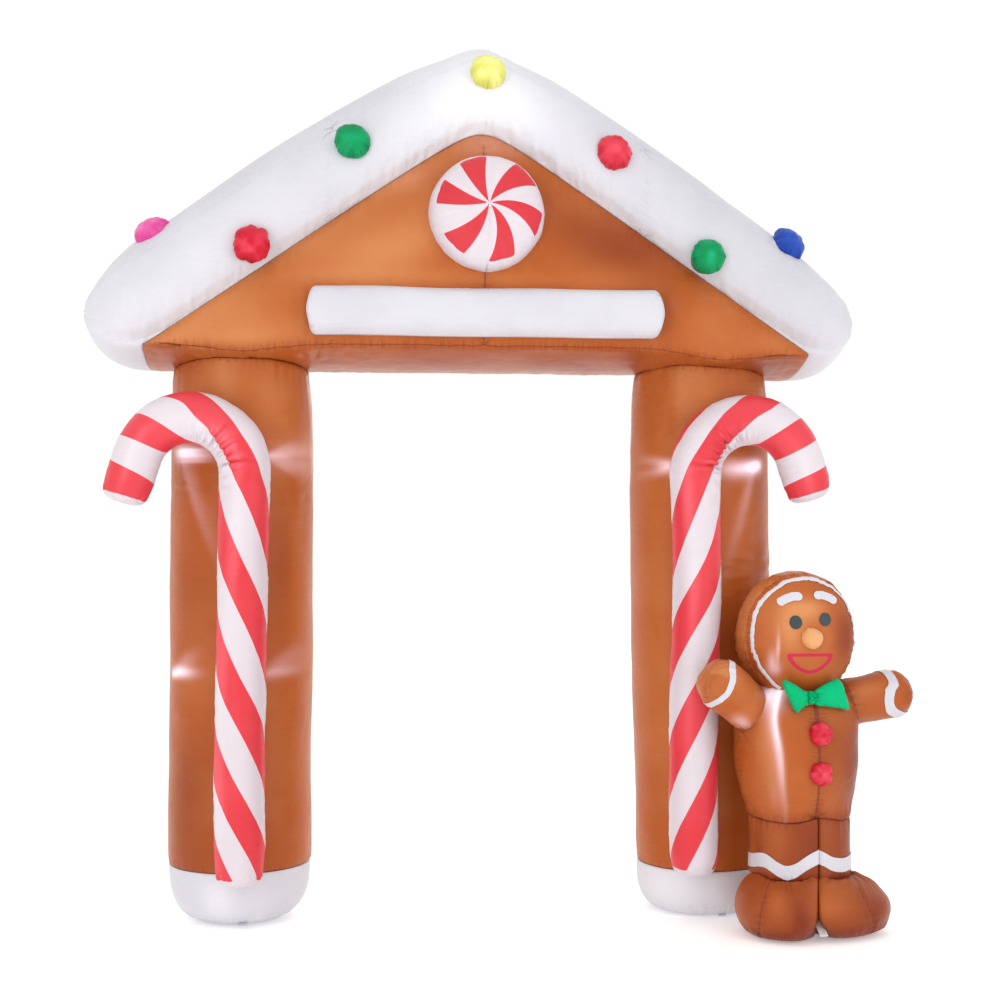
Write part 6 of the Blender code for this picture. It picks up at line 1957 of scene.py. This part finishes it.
def makeFoot(side, way):
    sections = feet["sections"]

    def base(angle, height):
        halfWidth, halfDepth, forward = readRows(sections, height)
        halfWidth = halfWidth + feet["extra"][side]
        own = feet["split"] + way * feet["middle"][side]
        inner = feet["split"] + way * 0.03
        x, y = pressedOval(angle, way, feet["split"], own, halfWidth, halfDepth, inner,
                           feet["middle"][side] + halfWidth - 0.03, feet["power"],
                           smoothTable(feet["press"], height)[..., 0])
        return np.stack([x, y - feet["forward"] - forward, height], -1)

    def relief(angle, height, points):
        toTop = 0.188 - height
        toSole = np.abs(height - 0.024)
        inner = np.clip(way * (points[..., 0] - feet["split"]) / 0.02, 0, 1)
        top, low = feet["toeSeams"][side]
        toToe = np.abs(degreesRound(angle) - low - (top - low) * height / 0.18) * 0.0021
        raised = ringFolds(0.0045, angle, 0.10, toTop, 0.020, 411 + way, 0.035)
        raised -= 0.0040 * np.exp(-((toToe / 0.006) ** 2))
        raised += seamFolds(0.0020, height, toToe, 0.016, 417, 0.018)
        raised += ringFolds(0.0030, angle, 0.12, toSole, 0.018, 413 + way, 0.022)
        raised += 0.0032 * softNoise(points, 0.08, 415 + way)
        return raised * inner * np.clip(height / 0.02, 0, 1)

    t = np.linspace(0, 1, feet["rows"])
    height = sections[-1][0] * (0.35 * t + 0.65 * (0.5 - 0.5 * np.cos(math.pi * t)))
    angle = onceRound(feet["sides"])
    gridHeight, gridAngle = crossGrid(height, angle)
    local = layCloth(base, relief, gridAngle, gridHeight, steps=(1e-3, 1e-5))
    local[..., 0] = feet["split"] + way * np.maximum(way * (local[..., 0] - feet["split"]), 0.0004)
    local[..., 2] = np.maximum(local[..., 2], 0.0)
    outer = np.clip((way * local[..., 0] - 0.10) / 0.09, 0, 1)
    local[..., 2] -= feet["shoulder"][side] * outer * np.clip((local[..., 2] - 0.05) / 0.10, 0, 1)
    # the toes' split leans toward the viewer's left as it comes forward
    ahead = np.maximum(-local[..., 1] - 0.10, 0)
    local[..., 0] -= feet["lean"] * ahead * np.clip(1 - np.abs(local[..., 0] - feet["split"]) / 0.2, 0, 1)
    # under the leg the foot's top is pressed flat
    halfWidth = (legs["reach"] + way * (legs["middle"] - legs["split"])) / 2
    x = (local[..., 0] - legs["split"] - way * halfWidth) / (halfWidth + 0.002)
    y = local[..., 1] / (legs["halfDepth"] + 0.002)
    under = np.abs(x) ** legs["power"] + np.abs(y) ** legs["power"] < 1.04
    local[..., 2] = np.where(under, np.minimum(local[..., 2], 0.1715), local[..., 2])
    degrees = degreesRound(gridAngle)
    top, low = feet["toeSeams"][side]
    toToe = np.abs(degrees - low - (top - low) * gridHeight / 0.18) * 0.0021
    seam = np.minimum(np.minimum(0.188 - gridHeight + 0.004, np.abs(gridHeight - 0.020) + 0.002), toToe)
    run = np.where(toToe <= seam, gridHeight, gridAngle * 0.1)
    # painted light and shade, darker toward the floor, with slow random unevenness
    paintedLightAndMottle = spots(degrees, gridHeight, feet["paintedShading"][side]) - 0.7 * hump(gridHeight, 0.0, 0.035)
    paintedLightAndMottle += uneven(local, 591)
    piece = makeSkin("footSkin_" + side, toWorld(local), {"seam": seam, "run": run, "paintedLightAndMottle": paintedLightAndMottle})
    dress(piece, "foot_" + side, brownSatin)


shin = {
    "width": 0.041,
    # degrees round the leg from the front, height of the band's middle
    "left": [(-180, 0.205), (-120, 0.208), (-90, 0.216), (-78, 0.2225), (-62, 0.2265), (-50, 0.2200),
             (-37, 0.2070),
             (-18, 0.1970), (4.5, 0.2055), (29, 0.2290), (47, 0.2430), (60, 0.2400), (180, 0.205)],
    "right": [(-180, 0.205), (-62, 0.2400), (-50, 0.2425), (-42, 0.2370), (-24, 0.2200), (6, 0.2120),
              (30, 0.2130),
              (57, 0.2180), (90, 0.214), (135, 0.206), (180, 0.205)],
}


def makeShinIcing(side, way):
    base, relief = legShape(way)
    turn = onceRound(400, 0.0)
    x = base(turn, np.full(turn.shape, 0.23))[:, 0] - legs["split"]
    shown = way * x > 0.0016
    order = np.argmax(shown & ~np.roll(shown, 1))
    kept = np.array([turn[(order + k) % 400] for k in range(int(shown.sum()))])
    middle = smoothTable(shin[side], degreesRound(kept))[..., 0]
    t = np.linspace(-0.5, 0.5, 10)
    heights = middle[:, None] + shin["width"] * t[None, :]
    section = stripSection(base, relief, kept, heights, (1e-3, 5e-4))
    piece = makeSkin("icingShin_" + side, toWorld(section), sharpAngle=50)
    dress(piece, "icing_leg_" + side, whiteTrim)


for side, way in (("left", -1), ("right", 1)):
    makeLeg(side, way)
    makeFoot(side, way)
    makeShinIcing(side, way)


bow = {
    "place": (-0.020, -0.1385, 0.712), "tilt": -2.0,
    # outline of each wing as (x, z)
    "wings": {"left": [(-0.0110, 0.0150), (-0.028, 0.026), (-0.052, 0.043), (-0.078, 0.056),
                       (-0.0865, 0.053),
                       (-0.084, 0.036), (-0.070, 0.002), (-0.052, -0.034), (-0.044, -0.0415),
                       (-0.034, -0.033),
                       (-0.020, -0.024), (-0.0110, -0.0195)],
              "right": [(0.0110, 0.0150), (0.032, 0.030), (0.062, 0.043), (0.085, 0.0515), (0.093, 0.046),
                        (0.102, 0.033), (0.110, 0.002), (0.120, -0.034), (0.117, -0.0425),
                        (0.093, -0.037),
                        (0.048, -0.029), (0.0110, -0.0195)]},
    "wingThickness": 0.046, "knotHalf": (0.0125, 0.0195), "knotThickness": 0.050,
}


def makePillow(name, node, outline, thickness, foldsFrom):
    outline = np.array(outline)
    middle = outline.mean(0)
    t = np.linspace(-1, 1, 44)
    depth = np.sin(t * math.pi / 2 * 0.97)
    scale = np.sqrt(np.maximum(1 - np.abs(depth) ** 2.2, 0.0004))
    gridDepth = crossGrid(depth, np.arange(len(outline)))[0]
    gridScale = scale[:, None]
    flat = middle + (outline[None] - middle) * gridScale[..., None]
    x, z = flat[..., 0], flat[..., 1]
    away = np.hypot(x - foldsFrom[0], z - foldsFrom[1])
    fan = np.arctan2(z - foldsFrom[1], np.abs(x - foldsFrom[0]) + 1e-4)
    fades = np.exp(-away / 0.060) * (1 - np.abs(gridScale) ** 6)
    folds = 0.0085 * gathers(fan * 0.055, away, 0.026, 431, 5.0) * fades
    local = np.stack([x, gridDepth * (thickness / 2) + np.sign(gridDepth) * folds, z], -1)
    tilt = Matrix.Rotation(math.radians(bow["tilt"]), 4, "Y")
    place = np.array(Matrix.Translation(bow["place"]) @ tilt)
    local = local @ place[:3, :3].T + place[:3, 3]
    seam = np.abs(gridDepth) * thickness / 2 + 0.0005
    run = np.broadcast_to(np.linspace(0, 0.3, len(outline)), seam.shape)
    piece = makeSkin(name, toWorld(local), {"seam": seam, "run": run})
    return dress(piece, node, bowSatin)


def makeBow():
    for side, way in (("left", -1), ("right", 1)):
        outline = smoothOutline(bow["wings"][side], 120)
        makePillow("bowWing_" + side, "bow_wing_" + side, outline, bow["wingThickness"],
                   (way * 0.010, 0.0))
    turn = onceRound(64, 0.0)
    halfX, halfZ = bow["knotHalf"]
    outline = [(halfX * math.copysign(abs(math.cos(a)) ** 0.77, math.cos(a)),
                halfZ * math.copysign(abs(math.sin(a)) ** 0.77, math.sin(a))) for a in turn]
    makePillow("bowKnot", "bow_knot", outline, bow["knotThickness"], (0.0, 0.0))


makeBow()


buttons = {"radius": 0.0340, "x": 0.004, "heights": {"upper": 0.605, "lower": 0.491},
           "profile": [(0.0, -0.022, 0.90), (0.2, 0.0, 0.98), (0.32, 0.008, 1.0), (0.5, 0.016, 0.86),
                       (0.7, 0.022, 0.55),
                       (0.92, 0.024, 0.12), (1.0, 0.0241, 0.01), (1.05, 0.024, -0.1)]}


def makeButton(which, seed):
    height = buttons["heights"][which]
    halfDepth, forward = smoothTable(body["sections"], np.array(height))[1:]
    out, share = readRows(buttons["profile"], np.linspace(0.0, 1, 44))
    angle = onceRound(72, 0.0)
    gridOut, gridAngle = crossGrid(out, angle)
    gridShare = crossGrid(share, angle)[0]
    toRim = (1 - gridShare) * buttons["radius"]
    flat = discPlace(gridShare, gridAngle, seed * 7.3)
    fine = 0.5 * np.abs(softNoise(flat, 0.26, 449))
    crumple = 0.0034 * (np.abs(softNoise(flat, 0.55, 447)) + fine - 0.45)
    drawn = ringFolds(0.0030, gridAngle, 0.03, toRim, 0.024, 441 + seed, 0.012)
    drawn = drawn + ringFolds(0.0009, gridAngle, 0.03, toRim, 0.008, 443 + seed, 0.008)
    radius = gridShare * buttons["radius"] + drawn * gridShare
    local = np.stack([buttons["x"] + radius * np.cos(gridAngle),
                      -(halfDepth + forward) - gridOut - (crumple + drawn * 0.5) * (gridOut > 0.004),
                      height + radius * np.sin(gridAngle)], -1)
    # the rim sits on the body
    deeper = local + [0, 0.06, 0]
    seat = meetSurface(local, deeper, insideBody, 0.002)
    local[:10] = np.where((gridOut[:10] < 0.002)[..., None], seat[:10], local[:10])
    # a painted highlight in the middle, with random unevenness
    paintedLightAndMottle = 0.30 * hump(gridShare, 0.0, 0.9) + 0.5 * softNoise(flat, 0.40, 451)
    piece = makeSkin("buttonSkin_" + which, toWorld(local),
                     {"seam": toRim * 0.8 + 0.0036, "run": gridAngle * 0.03, "paintedLightAndMottle": paintedLightAndMottle})
    material = bpy.data.materials.get("satin_red_cloth")
    return dress(piece, "button_" + which, material)


for seed, which in enumerate(("upper", "lower")):
    makeButton(which, seed)
print("figure done")


# the webbing loops at the floor
tether = {"length": 0.046, "thickness": 0.0012, "gap": 0.0010, "width": 0.025}


# one strip folded back on itself; drop is its height at the root and at the tip
def makeTether(name, root, drop, place):
    t, g, length = tether["thickness"], tether["gap"], tether["length"]
    radius = (2 * t + g) / 2
    straight = np.linspace(0, length - radius, 26)
    turn = np.linspace(-math.pi / 2, math.pi / 2, 14)[1:-1]
    outer = np.concatenate([np.stack([straight, straight * 0], -1),
                            np.stack([length - radius + radius * np.cos(turn),
                                      radius + radius * np.sin(turn)], -1),
                            np.stack([straight[::-1], straight * 0 + 2 * radius], -1)])
    innerRadius = radius - t
    inner = np.concatenate([np.stack([straight, straight * 0 + t], -1),
                            np.stack([length - radius + innerRadius * np.cos(turn),
                                      radius + innerRadius * np.sin(turn)], -1),
                            np.stack([straight[::-1], straight * 0 + 2 * radius - t], -1)])
    rise = drop[0] + (drop[1] - drop[0]) * np.clip(outer[:, :1] / length, 0, 1)
    sides = np.linspace(-0.5, 0.5, 9) * tether["width"]

    def strip(line):
        grid = np.zeros((len(line), len(sides), 3))
        grid[..., 0] = root[0] + sides[None, :]
        grid[..., 1] = root[1] - line[:, :1]
        grid[..., 2] = root[2] + line[:, 1:] + rise
        return grid

    points = np.concatenate([strip(outer), strip(inner)[:, ::-1]], 1)
    piece = makeSkin(name, place(points), sharpAngle=50)
    dress(piece, name.replace("Webbing", ""), webbing)
    return piece


makeTether("tether_leftWebbing", (-0.719, -0.1224, 0.0), (0.020, 0.007), lambda p: p + archShift)
makeTether("tether_rightWebbing", (0.758, -0.1224, 0.0), (0.020, 0.004), lambda p: p + archShift)
makeTether("tether_figureWebbing", (feet["split"] - 0.019, -0.134, 0.0), (0.056, 0.022), toWorld)
print("tethers done")


# floor, lights and camera
def makeStudio():
    scene = bpy.context.scene
    scene.view_settings.view_transform = "Standard"
    mesh = bpy.data.meshes.new("floorSheet")
    mesh.from_pydata([(-30, -30, 0), (30, -30, 0), (30, 30, 0), (-30, 30, 0)], [], [(0, 1, 2, 3)])
    floor = bpy.data.objects.new("floorSheet", mesh)
    scene.collection.objects.link(floor)
    material = bpy.data.materials.new("paleFloor")
    material.use_nodes = True
    shader = material.node_tree.nodes["Principled BSDF"]
    shader.inputs["Base Color"].default_value = (*studio["floorColour"], 1.0)
    shader.inputs["Roughness"].default_value = 0.85
    shader.inputs["Specular IOR Level"].default_value = 0.1
    shader.inputs["Emission Color"].default_value = (1.0, 1.0, 1.0, 1.0)
    shader.inputs["Emission Strength"].default_value = studio["floorLift"]
    mesh.materials.append(material)
    world = bpy.data.worlds.new("studioWorld")
    world.use_nodes = True
    background = world.node_tree.nodes["Background"]
    background.inputs["Color"].default_value = (1.0, 1.0, 1.0, 1.0)
    background.inputs["Strength"].default_value = studio["worldLight"]
    scene.world = world
    for name, place, aim, width, height, power, colour in studio["softboxes"]:
        lamp = bpy.data.lights.new(name, "AREA")
        lamp.shape, lamp.size, lamp.size_y = "RECTANGLE", width, height
        lamp.energy, lamp.color = power, colour
        box = bpy.data.objects.new(name, lamp)
        box.location = place
        box.rotation_euler = (Vector(aim) - Vector(place)).to_track_quat("-Z", "Y").to_euler()
        scene.collection.objects.link(box)
    lens = bpy.data.cameras.new("photoCamera")
    lens.lens, lens.sensor_width = camera["lens"], 36.0
    viewer = bpy.data.objects.new("photoCamera", lens)
    viewer.location = camera["place"]
    viewer.rotation_euler = (math.radians(camera["tilt"]), 0.0, math.radians(camera["turn"]))
    scene.collection.objects.link(viewer)
    scene.camera = viewer


makeStudio()
print("studio done")
